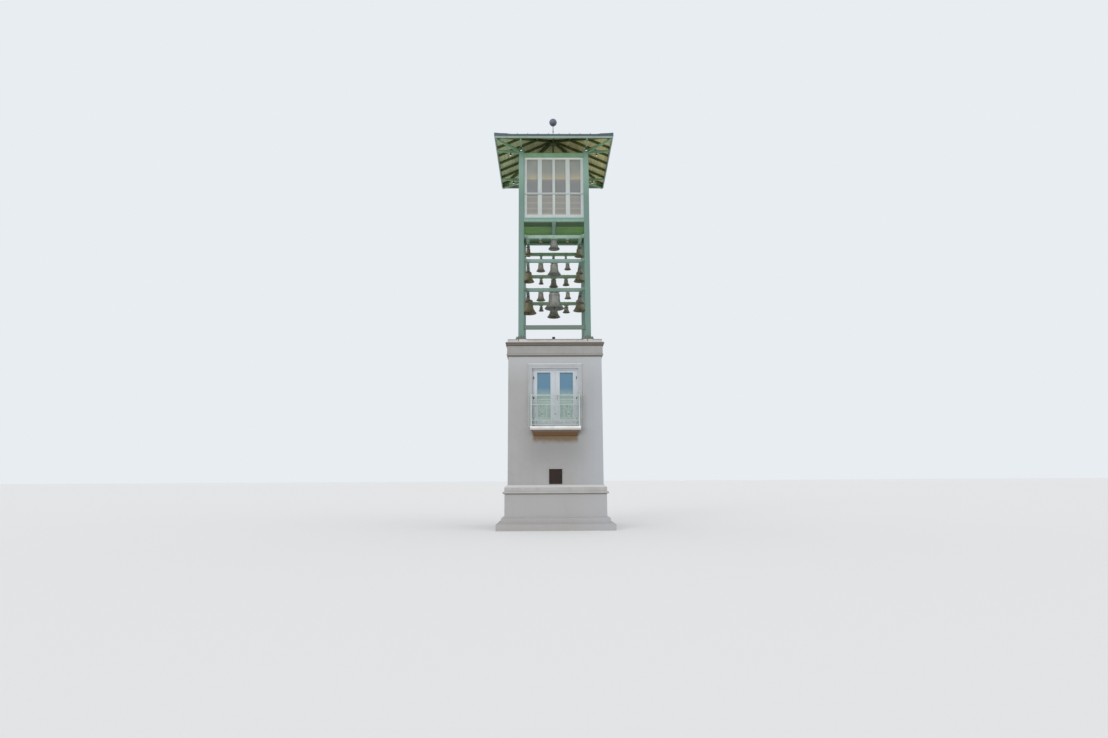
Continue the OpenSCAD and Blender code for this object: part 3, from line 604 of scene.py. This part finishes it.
def turned(name, outline, steps=24):
    """a piece turned about the Z axis from its outline of radius and height"""
    bpy.ops.mesh.primitive_plane_add(size=0.01)
    piece = bpy.context.object
    piece.name = piece.data.name = name
    bpy.ops.object.mode_set(mode="EDIT")
    bpy.ops.mesh.select_mode(type="VERT")
    bpy.ops.mesh.merge(type="CENTER")
    bpy.ops.transform.translate(value=(outline[0][0], 0, outline[0][1]))
    for before, after in zip(outline, outline[1:]):
        bpy.ops.mesh.extrude_vertices_move(TRANSFORM_OT_translate={
            "value": (after[0] - before[0], 0, after[1] - before[1])})
    bpy.ops.mesh.select_all(action="SELECT")
    bpy.ops.mesh.spin(steps=steps, angle=2 * math.pi, center=(0, 0, 0), axis=(0, 0, 1))
    bpy.ops.mesh.select_all(action="SELECT")
    bpy.ops.mesh.remove_doubles(threshold=0.000005)
    bpy.ops.mesh.normals_make_consistent(inside=False)
    bpy.ops.object.mode_set(mode="OBJECT")
    bpy.ops.object.shade_smooth_by_angle(angle=math.radians(35))
    return piece


def standing(foot, towards=(0, -1, 0)):
    """the place of a copy: where its foot goes, and which way it points"""
    return at(*foot) @ Vector(towards).to_track_quat("Z", "Y").to_matrix().to_4x4()


def turnings(places, outline, steps=24):
    """a turned piece at each of some places"""
    return copies(turned("turning", outline, steps), places)


beads = []
for left, right in ((-0.671, -0.158), (0.158, 0.671)):
    beads.append(border("door_beads", (left, glass_front - 0.016, 3.915), (right, glass_front, 5.670), 0.014))
beads.append(rounded(block("cover_strip", (-0.022, leaf_front - 0.009, 3.672), (0.022, leaf_front, 5.722)),
                     0.004, 3))
bar_nose = leaf_front - 0.030
for left, right in ((-0.787, -0.030), (0.030, 0.787)):
    weather_bar = block("weather_bar", (left, bar_nose, 3.690), (right, leaf_front, 3.735))
    cut(weather_bar, (0, bar_nose, 3.708), (0, -0.67, 0.74))
    beads.append(weather_bar)
finished(rounded(joined("door_beads", beads), 0.002), white_paint)

# the shallow drip moulding under the head of the surround
hood_back, hood_front = -1.720, -1.758
hood = block("door_hood", (-0.985, hood_front, 5.924), (0.985, hood_back, 5.990))
cut(hood, (0, hood_front, 5.968), (0, -0.5, 0.86))
draw_out(hood, facing(0, -1, 0), (0, -0.008, 0))
finished(rounded(hood, 0.006, 3), surround_paint)

hinge_iron = weathered("hinge_iron", (74, 72, 70), (104, 84, 70), 0.5, 0.4, 0.05, 0.003, 0.5,
                       relief=0.15, metal=0.5)
barrel = turned("barrel", [(0, -0.058), (0.006, -0.055), (0.008, -0.050), (0.009, -0.048), (0.009, -0.018),
                           (0.0078, -0.017), (0.009, -0.016), (0.009, 0.016), (0.0078, 0.017),
                           (0.009, 0.018), (0.009, 0.048), (0.008, 0.050), (0.006, 0.055), (0, 0.058)], 16)
hinge_parts = [barrel]
for start, end in ((-0.020, 0), (0, 0.034)):
    hinge_parts.append(rounded(block("plate", (start, 0.004, -0.048), (end, 0.0065, 0.048)), 0.001, 1))
plate_face = leaf_front - 0.006
hinge_places = [at(side * 0.797, plate_face, height) for side in (-1, 1) for height in (3.95, 4.70, 5.46)]
hinges = copies(joined("door_hinges", hinge_parts), hinge_places)
finished(joined("door_hinges", hinges), hinge_iron)

handle_metal = weathered("handle_metal", (168, 168, 166), (130, 128, 124), 0.4, 0.1, 0.04, 0.002, 0.32,
                         relief=0.05, metal=0.7)
back_plate = rounded(block("back_plate", (0.062, plate_face, 4.640), (0.100, leaf_front, 4.860)), 0.003)
rose = turnings([standing((0.081, plate_face, 4.810))],
                [(0, 0), (0.015, 0), (0.016, 0.004), (0.010, 0.008), (0.009, 0.045), (0, 0.045)])
lever = block("lever", (0.074, leaf_front - 0.056, 4.802), (0.088, leaf_front - 0.044, 4.818))
for bend in ((0.050, 0, 0), (0.050, 0.006, -0.004)):
    draw_out(lever, facing(1, 0, 0), bend)
cylinder = turnings([standing((0.081, plate_face, 4.690))],
                    [(0, 0), (0.012, 0), (0.012, 0.006), (0.010, 0.008), (0, 0.008)])
handle_parts = [back_plate, rounded(lever, 0.003), *rose, *cylinder]
finished(joined("door_handle", handle_parts), handle_metal)


# BALCONY RAILING
# Flat and round steel bars, welded up and painted a pale green. Small turned knobs sit on
# the short pins, rosettes cover the crossings, and flanges hold the returns to the wall.
railing_paint = weathered("railing_paint", (176, 189, 181), (148, 162, 153), 0.35, 0.3, 0.3, 0.01, 0.42,
                          relief=0.2)
wear_and_highlight_edges(railing_paint, (104, 84, 70), 0.003, 0.5)
coat(railing_paint, "balcony_railing")
rail_front = -2.010
rail_half = 0.870
pin_places = [at(pin * rail_half / 7.25, rail_front, 3.790) for pin in range(-6, 7)]
knobs = turnings(pin_places, [(0.0085, -0.024), (0.012, -0.022), (0.012, -0.017), (0.0095, -0.015),
                              (0.014, -0.009), (0.0165, 0), (0.014, 0.009), (0.0095, 0.015),
                              (0.012, 0.017), (0.012, 0.022), (0.0085, 0.024)])
finished(joined("railing_knobs", knobs), railing_paint)
rosette_places = [standing((bay * 0.544 * rail_half, rail_front + side * 0.007, 4.088), (0, side, 0))
                  for bay in (-1, 0, 1) for side in (-1, 1)]
rosettes = turnings(rosette_places, [(0, 0), (0.021, 0), (0.023, 0.004), (0.018, 0.007), (0.015, 0.006),
                                     (0.011, 0.011), (0.006, 0.014), (0, 0.015)])
# the rosettes get a darker copy of the railing's green, a painted shade
rosette_shaded_paint = weathered("rosette_shaded_paint", (104, 118, 110), (80, 88, 82), 0.4, 0.3, 0.1, 0.006, 0.45,
                          relief=0.2)
finished(joined("railing_rosettes", rosettes), rosette_shaded_paint)
flange_back, flange_front = -1.742, -1.748
flange_half = 0.034
flanges = []
screw_places = []
for side in (-1, 1):
    for height in (3.711, 4.781):
        flange = block("wall_flanges", (side * rail_half - flange_half, flange_front, height - flange_half),
                       (side * rail_half + flange_half, flange_back, height + flange_half))
        flanges.append(rounded(flange, 0.003))
        screw_places += [standing((side * rail_half + across_x, flange_front, height + up))
                         for across_x in (-0.024, 0.024) for up in (-0.024, 0.024)]
flanges += turnings(screw_places, [(0, 0), (0.006, 0), (0.0055, 0.002), (0.003, 0.0035), (0, 0.004)], 12)
finished(joined("wall_flanges", flanges), railing_paint)


# PLAQUE
# A cast metal plate in a narrow pale frame, held to the wall by four rosette screws. Its
# face is left bare.
plaque_metal = weathered("plaque_metal", (45, 31, 25), (34, 26, 23), 0.6, 0.15, 0.1, 0.005, 0.46,
                         relief=0.9, metal=0.2, shine=0.25)
wear_and_highlight_edges(plaque_metal, (92, 72, 56), 0.005, 0.5)
coat(plaque_metal, "plaque")
plaque_border = border("plaque_border", (-0.250, -1.740, 1.589), (0.250, -1.720, 2.153), 0.0148)
finished(rounded(plaque_border, 0.004, 3), surround_paint)
plaque_corners = [standing((across_x, -1.742, up))
                  for across_x in (-0.185, 0.185) for up in (1.654, 2.088)]
plaque_screws = turnings(plaque_corners, [(0, 0), (0.013, 0), (0.014, 0.003), (0.011, 0.005), (0.009, 0.004),
                                          (0.006, 0.009), (0, 0.011)])
finished(joined("plaque_screws", plaque_screws), plaque_metal)


# STEELWORK
# Square steel tubes, bars and beams, welded and bolted, in a grey-green satin paint that
# has chalked in patches. It is paler under the roof. Each ring and beam has its own copy of
# the paint, lighter or darker as a painted light and shade.
def green_steel(name, colour, stain=(92, 118, 106)):
    """a copy of the steel's paint in a colour of its own; the rings' and beams' copies are painted light and
    shade
    """
    paint = weathered(name, colour, stain, 0.35, 0.35, 0.7, 0.02, 0.42, relief=0.25)
    wear_and_highlight_edges(paint, (112, 92, 76), 0.006, 0.35)
    return paint


green_paint = green_steel("post_paint", (104, 134, 122))
tint(green_paint, (124, 156, 140), 12.6, 13.6, 0.9, 0.2)
tint(green_paint, (96, 92, 78), 7.16, 6.99, 0.5, 0.12)
coat(green_paint, "front_left_post", "front_right_post", "back_left_post", "back_right_post")
rail_green = green_steel("rail_paint", (102, 118, 106))
coat(rail_green, "base_rails")
# each ring gets its own copy of the paint, lighter the higher it hangs: a painted light
ring_greens = {"bottom": green_steel("bottom_ring_paint", (112, 137, 125)),
               "middle": green_steel("middle_ring_paint", (124, 151, 140)),
               "top": green_steel("top_ring_paint", (146, 177, 158))}
for ring, ring_paint in ring_greens.items():
    # the back bars are painted darker and greener: painted shade from the glazed box, with painted green
    # reflected light
    tint(ring_paint, (96, 128, 84), 0.3, 0.8, 0.75, 0.1, (0, 1, 0))
    coat(ring_paint, ring + "_ring")
sill_green = green_steel("sill_beam_paint", (128, 164, 146))
# the sill beam's upper half is painted darker, a painted shade
tint(sill_green, (106, 140, 128), 11.7, 11.712, 0.9, 0.004)
coat(sill_green, "sill_frame")
# a lighter copy of the paint on the head beam, a painted light in the shade of the eaves
head_green = green_steel("head_beam_paint", (126, 166, 132), (96, 130, 92))
coat(head_green, "head_frame")

post_middle = 1.267
post_inside = 1.164
foot_top = 7.010
weld_half = 0.113
weld_paint = green_steel("weld_paint", (98, 120, 110))
weld = border("post_welds", (post_middle - weld_half, -post_middle - weld_half, foot_top - 0.002),
              (post_middle + weld_half, -post_middle + weld_half, foot_top + 0.010), 0.0125, "z")
finished(round_the_tower(rounded(weld, 0.004)), weld_paint)

bolt = turned("bolt", [(0, 0), (0.019, 0), (0.019, 0.003), (0.0165, 0.0032), (0, 0.0032)], 20)
bolt_head = turned("bolt_head", [(0, 0.003), (0.015, 0.003), (0.015, 0.012), (0.0135, 0.0135),
                                 (0, 0.0135)], 6)
bolt = joined("bolt", [bolt, bolt_head])
plate_near = post_inside - 0.012
bolt_places = [standing((end * plate_near, -post_middle + across_y, up), (-end, 0, 0))
               for end in (-1, 1) for across_y in (-0.062, 0.062) for up in (7.368, 7.526)]
end_plates = []
for start, end in ((-post_inside, -plate_near), (plate_near, post_inside)):
    plate = block("rail_end_plates", (start, -post_middle - 0.085, 7.340),
                  (end, -post_middle + 0.085, 7.554))
    end_plates.append(rounded(plate, 0.002))
end_plates += copies(bolt, bolt_places)
finished(round_the_tower(joined("rail_end_plates", end_plates)), rail_green)

# each ring's corner struts are held to the posts between two bolted cheeks
ring_tops = {"bottom": 9.039, "middle": 10.203, "top": 11.176}
corner = Matrix.Rotation(math.radians(45), 4, "Z")
cheek_near, cheek_far = 0.0531, 0.0611
for ring, ring_top in ring_tops.items():
    cheeks = []
    for side, start, end in ((-1, -cheek_far, -cheek_near), (1, cheek_near, cheek_far)):
        cheek = block("cheek", (1.552, start, ring_top - 0.104), (1.703, end, ring_top - 0.014))
        cheeks.append(rounded(cheek, 0.002))
        stud_places = [standing((out_x, side * cheek_far, ring_top - 0.059), (0, side, 0))
                       for out_x in (1.580, 1.632)]
        cheeks += turnings(stud_places, [(0, 0), (0.012, 0), (0.012, 0.002), (0.009, 0.0025), (0.009, 0.009),
                                         (0.0078, 0.010), (0, 0.010)], 6)
    cheeks = copies(joined("cheeks", cheeks), [turn @ corner for turn in quarter_turns])
    finished(joined(ring + "_strut_cheeks", cheeks), ring_greens[ring])


# BELLS
# Cast bronze bells, weathered to a dull olive grey, with the lathe's fine lines, a dark
# crown, dark lips and drip marks. Each hangs by a stem and a turned collar from a yoke
# plate that two nuts hold to the bar. Turned wires and bands run round them.
lathe, lathe_in, lathe_out = shader_group("lathe_marks", ("Colour", "Dark", "Lines per metre", "Strength"))
lathe_stretch = place(lathe, "CombineXYZ", {0: 1.2, 1: 1.5, 2: lathe_in["Lines per metre"]})
lathe_at = place(lathe, "VectorMath", {0: object_place(lathe), 1: lathe_stretch[0]}, operation="MULTIPLY")
turned_lines = noise(lathe, lathe_at[0], 1.0, 3.0, 0.6)
line_mask = ramp(lathe, turned_lines, 0.45, 0.75, 0.0, lathe_in["Strength"])
hand_out(lathe, lathe_out, Colour=mixed(lathe, line_mask, lathe_in["Colour"], lathe_in["Dark"]))


def bell_bronze(name, colour, stain, crown_top):
    """the bronze of one side's bells in a ring, darker from their shoulders up"""
    metal = weathered(name, colour, stain, 0.65, 0.5, 0.22, 0.008, 0.46, relief=0.3, metal=0.3)
    over_colour(metal, lathe, {"Dark": srgb(70, 68, 56), "Lines per metre": 90.0, "Strength": 0.35})
    tint(metal, (66, 62, 50), crown_top - 0.05, crown_top - 0.024, 0.75, 0.02)
    return metal


crown_drop = 0.188
ring_half = 1.030
small_bell_x = 0.520
ring_rims = {
    "bottom": ((0.354, 0.752, 0.266), (0.330, 0.540, 0.240), (0.308, 0.548, 0.224), (0.240, 0.662, 0.250)),
    "middle": ((0.348, 0.522, 0.267), (0.273, 0.475, 0.220), (0.297, 0.385, 0.226), (0.210, 0.491, 0.210)),
    "top": ((0.179, 0.448, 0.168), (0.163, 0.385, 0.160), (0.165, 0.200, 0.165), (0.160, 0.279, 0.160))}
# each side's bells get their own copy of the bronze, lighter at the front and darker at the back: painted
# light and shade
bell_sides_lit_and_shaded = {"front": ((138, 140, 134), (98, 96, 88)), "right": ((124, 124, 94), (88, 86, 62)),
              "back": ((112, 114, 98), (78, 80, 62)), "left": ((124, 120, 88), (78, 72, 52)),
              "small": ((124, 120, 108), (86, 84, 68))}
for ring, ring_top in ring_tops.items():
    for side, (colour, stain) in bell_sides_lit_and_shaded.items():
        name = ring + "_" + side + ("_bells" if side == "small" else "_bell")
        coat(bell_bronze(name + "_bronze", colour, stain, ring_top - crown_drop), name)

clapper_iron = weathered("clapper_iron", (84, 78, 70), (96, 66, 50), 0.55, 0.2, 0.12, 0.004, 0.55,
                         relief=0.4, metal=0.5)
coat(clapper_iron, "front_clapper", "right_clapper", "back_clapper", "left_clapper")

shoulder = 0.735
lip = 0.012
narrow = 0.56
flare = 3.1
bell_height = 0.82


def bell_radius(height, rings):
    """a bell's outer radius at a height, for a rim of 1 and a wall of so many rings"""
    def at_ring(number):
        return 0.5 * (narrow + (1 - narrow) * (1 - number / rings) ** flare)
    number = (height - lip) / (shoulder - lip) * rings
    below = min(int(number), rings - 1)
    return at_ring(below) + (number - below) * (at_ring(below + 1) - at_ring(below))


def beads_round(places, height, rings, half_height, proud):
    """a rounded bead round each of some bells"""
    inset = 0.003
    low, middle, high = (bell_radius(height + offset, rings) for offset in (-half_height, 0, half_height))
    return turnings(places, [
        (low - inset, height - half_height), (low + 0.6 * proud, height - 0.7 * half_height),
        (middle + proud, height), (high + 0.6 * proud, height + 0.7 * half_height),
        (high - inset, height + half_height), (low - inset, height - half_height)], 48)


def hung(ring):
    """every bell of a ring: the middle of its hanger, its number along the bar, its rim"""
    return [(quarter_turns[side] @ at((number - 1) * small_bell_x, -ring_half, 0), number, rim)
            for side, rims in enumerate(ring_rims[ring]) for number, rim in enumerate(rims)]


def bell_places(ring, chosen):
    """the places of some of a ring's bells, each scaled by its rim"""
    return [hanger @ at(0, 0, ring_tops[ring] - crown_drop - bell_height * rim) @ Matrix.Scale(rim, 4)
            for hanger, number, rim in hung(ring) if number in chosen]


dark_bronze = weathered("dark_bronze", (66, 60, 48), (46, 42, 34), 0.6, 0.2, 0.1, 0.005, 0.42,
                        relief=0.3, metal=0.4)
wire_bronze = weathered("wire_bronze", (132, 130, 112), (90, 90, 70), 0.6, 0.3, 0.15, 0.006, 0.42,
                        relief=0.2, metal=0.35)
# the middle bell of a bar has a wall drawn in 10 rings, the bells beside it one in 7
wall_kinds = (((1,), 10), ((0, 2), 7))
wire_heights = ((0.095, 0.122, 0.190, 0.628, 0.694), (0.150, 0.175, 0.640, 0.665))
lip_height = 0.030
for ring, ring_top in ring_tops.items():
    wires = []
    lips = []
    for (chosen, rings), heights in zip(wall_kinds, wire_heights):
        spots = bell_places(ring, chosen)
        for height in heights:
            wires += beads_round(spots, height, rings, 0.006, 0.006)
        lips += beads_round(spots, lip_height, rings, 0.016, 0.004)
    finished(joined(ring + "_bell_wires", wires), wire_bronze)
    finished(joined(ring + "_bell_lips", lips), dark_bronze)

    # a stem thickens with its bell, and the nuts stand at both ends of its yoke plate
    stems = []
    nuts = []
    for hanger, number, rim in hung(ring):
        stem = 0.012 + rim / 18
        stems.append(hanger @ at(0, 0, ring_top - crown_drop - 0.001)
                     @ Matrix.Diagonal((stem, stem, 0.8 * stem, 1)))
        nuts += [hanger @ at(end * (rim / 4 + 0.004), 0, ring_top) for end in (-1, 1)]
    collars = turnings(stems, [(0.96, 0), (1.50, 0), (1.56, 0.08), (1.50, 0.20), (1.25, 0.28), (1.18, 0.42),
                               (1.24, 0.50), (1.20, 0.62), (0.96, 0.66), (0.96, 0)], 32)
    finished(joined(ring + "_bell_collars", collars), dark_bronze)
    washer = turned("washer", [(0.010, 0), (0.024, 0), (0.024, 0.0035), (0.010, 0.0035), (0.010, 0)], 20)
    nut = turned("nut", [(0.010, 0.003), (0.0185, 0.003), (0.020, 0.005), (0.020, 0.018), (0.0185, 0.020),
                         (0.010, 0.020), (0.010, 0.003)], 6)
    finished(joined(ring + "_hanger_nuts", copies(joined("nut", [washer, nut]), nuts)), ring_greens[ring])


# CEILING OF THE BELFRY
# Sheet panels between the sill beams, in the leaf green of their undercoat, with flat
# cover strips over the joints and the heads of the rivets that hold them.
ceiling_paint = weathered("ceiling_paint", (106, 162, 68), (86, 132, 54), 0.45, 0.0, 0.6, 0.02, 0.5,
                          relief=0.3)
# a painted shadow on the ceiling's front strip, behind the front sill beam
tint(ceiling_paint, (40, 66, 22), -0.6, -0.68, 0.85, 0.03, (0, 1, 0))
# the back half of the ceiling is painted darker, a painted shade
tint(ceiling_paint, (48, 76, 26), 0.0, 0.5, 0.85, 0.1, (0, 1, 0))
coat(ceiling_paint, "belfry_ceiling")
ceiling_under = 11.726
strip_under = ceiling_under - 0.005
rivet_gap = 0.16
strips = []
rivets = []
for strip_x in (-0.87, -0.47, 0.47, 0.87):
    for start, end in ((-1.270, -0.606), (-0.558, 0.558), (0.606, 1.270)):
        strip = block("ceiling_strips", (strip_x - 0.024, start, strip_under),
                      (strip_x + 0.024, end, ceiling_under))
        strips.append(rounded(strip, 0.0012, 1))
        count = round((end - start) / rivet_gap)
        rivets += [standing((strip_x, start + (step + 0.5) * (end - start) / count, strip_under), (0, 0, -1))
                   for step in range(count)]
strips += turnings(rivets, [(0, 0), (0.007, 0), (0.006, 0.003), (0.003, 0.0045), (0, 0.005)], 12)
finished(joined("ceiling_strips", strips), ceiling_paint)


# GLAZED BOX
# Painted frames with grey translucent panes, each held by a glazing bead. Sloped weather
# bars cover the transom and the sill. Louvre blades stand behind the lower panes, and what
# shows through the glass is painted on the panes.
frame_paint = weathered("window_frame_paint", (186, 194, 190), (158, 164, 162), 0.3, 0.3, 0.4, 0.005,
                        0.4, relief=0.12)
# pale edges, a painted highlight along the frames
wear_and_highlight_edges(frame_paint, (210, 214, 212), 0.004, 0.4)
# the top rail is painted lighter, a painted light under the shade of the eaves
tint(frame_paint, (212, 216, 204), 14.225, 14.238, 0.9)
coat(frame_paint, "glazing_frames")
# the panes are painted with what shows through them, a painted light and shade: the lit roof underside in
# beige, the shaded back of the box in grey-blue below it, and paler lower panes
pane_material = weathered("grey_panes", (186, 190, 186), (164, 166, 158), 0.5, 0.4, 0.6, 0.004, 0.07,
                          relief=0.04)
tint(pane_material, (218, 206, 176), 13.7, 13.42, 0.85, 0.08)
tint(pane_material, (158, 164, 168), 13.405, 13.395, 0.85)
tint(pane_material, (184, 184, 178), 12.8, 12.3, 0.8, 0.2)
# pale painted stripes where the lit louvre blades show through the lower panes
for stripe in (12.676, 12.428, 12.196, 11.996):
    tint(pane_material, (210, 202, 182), stripe + 0.035, stripe + 0.025, 0.75)
    tint(pane_material, (182, 182, 177), stripe - 0.025, stripe - 0.035, 1.0)
shader_of(pane_material).inputs["Transmission Weight"].default_value = 0.55
coat(pane_material, "glazing_panes")
louvre_paint = weathered("louvre_paint", (240, 228, 206), (210, 198, 176), 0.4, 0.2, 0.3, 0.01, 0.6)
coat(louvre_paint, "louvres")
pane_face = 0.004
bead_depth = 0.013
frame_front = -post_middle - 0.025
beads = []
for left, right in ((-1.060, -0.620), (-0.475, -0.041), (0.041, 0.475), (0.620, 1.060)):
    for low, high in ((11.932, 12.772), (12.834, 14.235)):
        for outer, inner in ((-pane_face - bead_depth, -pane_face), (pane_face, pane_face + bead_depth)):
            beads.append(border("glazing_beads", (left, outer - post_middle, low),
                                (right, inner - post_middle, high), 0.012))
finished(round_the_tower(rounded(joined("glazing_beads", beads), 0.003)), frame_paint)
bars = []
for low, high, out in ((12.778, 12.812, 0.030), (11.784, 11.814, 0.042)):
    bar = block("weather_bars", (-post_inside + 0.001, frame_front - out, low),
                (post_inside - 0.001, frame_front, high))
    cut(bar, (0, frame_front - out, low + 0.010), (0, -(high - low - 0.012), out))
    bars.append(bar)
finished(round_the_tower(rounded(joined("weather_bars", bars), 0.002)), frame_paint)


# EAVES AND ROOF
# Painted boards with V joints on rafters, a fascia board, and a sheet metal covering with
# standing seams, bent hip sheets and a drip edge. Small floodlights hang from the
# outriggers.
rafter_paint = weathered("rafter_paint", (92, 112, 58), (64, 82, 44), 0.4, 0.0, 0.4, 0.01, 0.6)
grain(rafter_paint, (48, 58, 34), 0.5, 0.4)
coat(rafter_paint, "rafters")
fascia_paint = weathered("fascia_paint", (140, 158, 146), (110, 128, 114), 0.35, 0.3, 0.5, 0.01, 0.5,
                         relief=0.2)
coat(fascia_paint, "fascia")
roof_metal = weathered("slate_grey_metal", (78, 96, 102), (60, 70, 72), 0.5, 0.3, 0.8, 0.02, 0.38,
                       relief=0.3, metal=0.4)
wear_and_highlight_edges(roof_metal, (126, 136, 138), 0.005, 0.5)
coat(roof_metal, "roof_covering", "drip_edge", "hip_caps")

pitch = 0.445
# the boards are painted very bright and warm, a painted light standing in for the glow under the eaves
board_paint = weathered("soffit_paint", (255, 246, 188), (240, 222, 158), 0.5, 0.0, 0.5, 0.01, 0.65,
                        relief=0.4)
deck_half = 2.219
deck_under = 14.750
board_count = 17
board_width = deck_half / board_count
grain(board_paint, (228, 208, 146), board_width, 0.5)
# a painted light: the boards turn cooler and greener towards the left, warm on the right
tint(board_paint, (204, 218, 176), 0.6, -1.6, 0.8, 0.4, (1, 0, 0))
board = block("soffit_boards", (-deck_half, -deck_half, deck_under),
              (deck_half, -deck_half + board_width - 0.002, deck_under + 0.022))
work(board, facing(0, 1, 0),
     (bpy.ops.transform.translate, {"value": (0, 0, pitch * (board_width - 0.002))}))
rounded(board, 0.005, 1)
board_places = [at(0, row * board_width, row * board_width * pitch) for row in range(board_count)]
boards = joined("soffit_boards", copies(board, board_places))
for side in (-1, 1):
    cut(boards, (0, 0, 0), (side, 1, 0))
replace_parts(finished(round_the_tower(boards), board_paint), "roof_deck_boards")

cover_half = 2.276
cover_edge = 14.776
hip_sheet = 0.250 * math.sqrt(2)
seams = []
for column in range(-9, 10, 2):
    seam_x = 0.2 * column
    inner_end = -abs(seam_x) - hip_sheet - 0.012
    run = cover_half - 0.004 + inner_end
    seam = block("standing_seams", (seam_x - 0.006, -cover_half + 0.004, cover_edge - 0.002),
                 (seam_x + 0.006, inner_end, cover_edge + 0.027))
    draw_out(seam, facing(0, 0, 1), (0, 0, 0.006))
    work(seam, lambda middle, out: abs(out.x) > 0.9 and middle.z > cover_edge + 0.028,
         (bpy.ops.transform.resize, {"value": (2.0, 1, 1), "center_override": (seam_x, 0, 0)}))
    work(seam, facing(0, 1, 0), (bpy.ops.transform.translate, {"value": (0, 0, pitch * run)}))
    seams.append(rounded(seam, 0.0025))
finished(round_the_tower(joined("standing_seams", seams)), roof_metal)

lens_glass = weathered("lamp_lens", (240, 240, 226), (214, 212, 196), 0.2, 0.0, 0.05, 0.004, 0.12,
                       relief=0.05)
lens_shader = shader_of(lens_glass)
lens_shader.inputs["Emission Color"].default_value = srgb(250, 246, 214)
lens_shader.inputs["Emission Strength"].default_value = 0.6
arm_under = 14.519
lamp_y = -1.700
lamp_places = [turn @ at(lamp_x, lamp_y, arm_under)
               for turn in quarter_turns for lamp_x in (-post_middle, post_middle)]
cans = turnings(lamp_places, [(0, 0), (0.030, 0), (0.032, -0.004), (0.008, -0.010), (0.008, -0.034),
                              (0.024, -0.040), (0.036, -0.052), (0.040, -0.110), (0.043, -0.114),
                              (0.043, -0.122), (0.038, -0.122), (0.037, -0.112), (0, -0.110)])
finished(joined("eaves_lamps", cans), lamp_black)
lenses = turnings(lamp_places, [(0, -0.111), (0.0365, -0.111), (0.034, -0.117), (0.020, -0.121), (0, -0.122)])
finished(joined("eaves_lenses", lenses), lens_glass)


# FINIAL
# A spun metal ball on a thin rod over a cone of sheet metal, its paint flaked and spotted
# with rust. A rolled band covers the ball's seam, and a collar clamps the rod.
ball_metal = weathered("ball_metal", (100, 122, 142), (124, 90, 76), 0.85, 0.2, 0.05, 0.008, 0.5,
                       relief=0.8, metal=0.3)
over_colour(ball_metal, lathe, {"Dark": srgb(66, 72, 78), "Lines per metre": 60.0, "Strength": 0.4})
coat(ball_metal, "finial")
ball_centre = 16.527
ball_radius = 0.155
rod_collar_foot = 16.10
seam_band = turnings([at(0, 0, ball_centre)], [(ball_radius + proud, height) for proud, height in (
    (-0.003, -0.011), (0.002, -0.010), (0.004, -0.004), (0.004, 0.004), (0.002, 0.010), (-0.003, 0.011),
    (-0.003, -0.011))], 64)
collar = turnings([at(0, 0, rod_collar_foot)], [(0.013, 0), (0.026, 0), (0.030, 0.006), (0.030, 0.024),
                                                (0.026, 0.030), (0.013, 0.030), (0.013, 0)], 32)
finished(joined("ball_band", seam_band + collar), ball_metal)
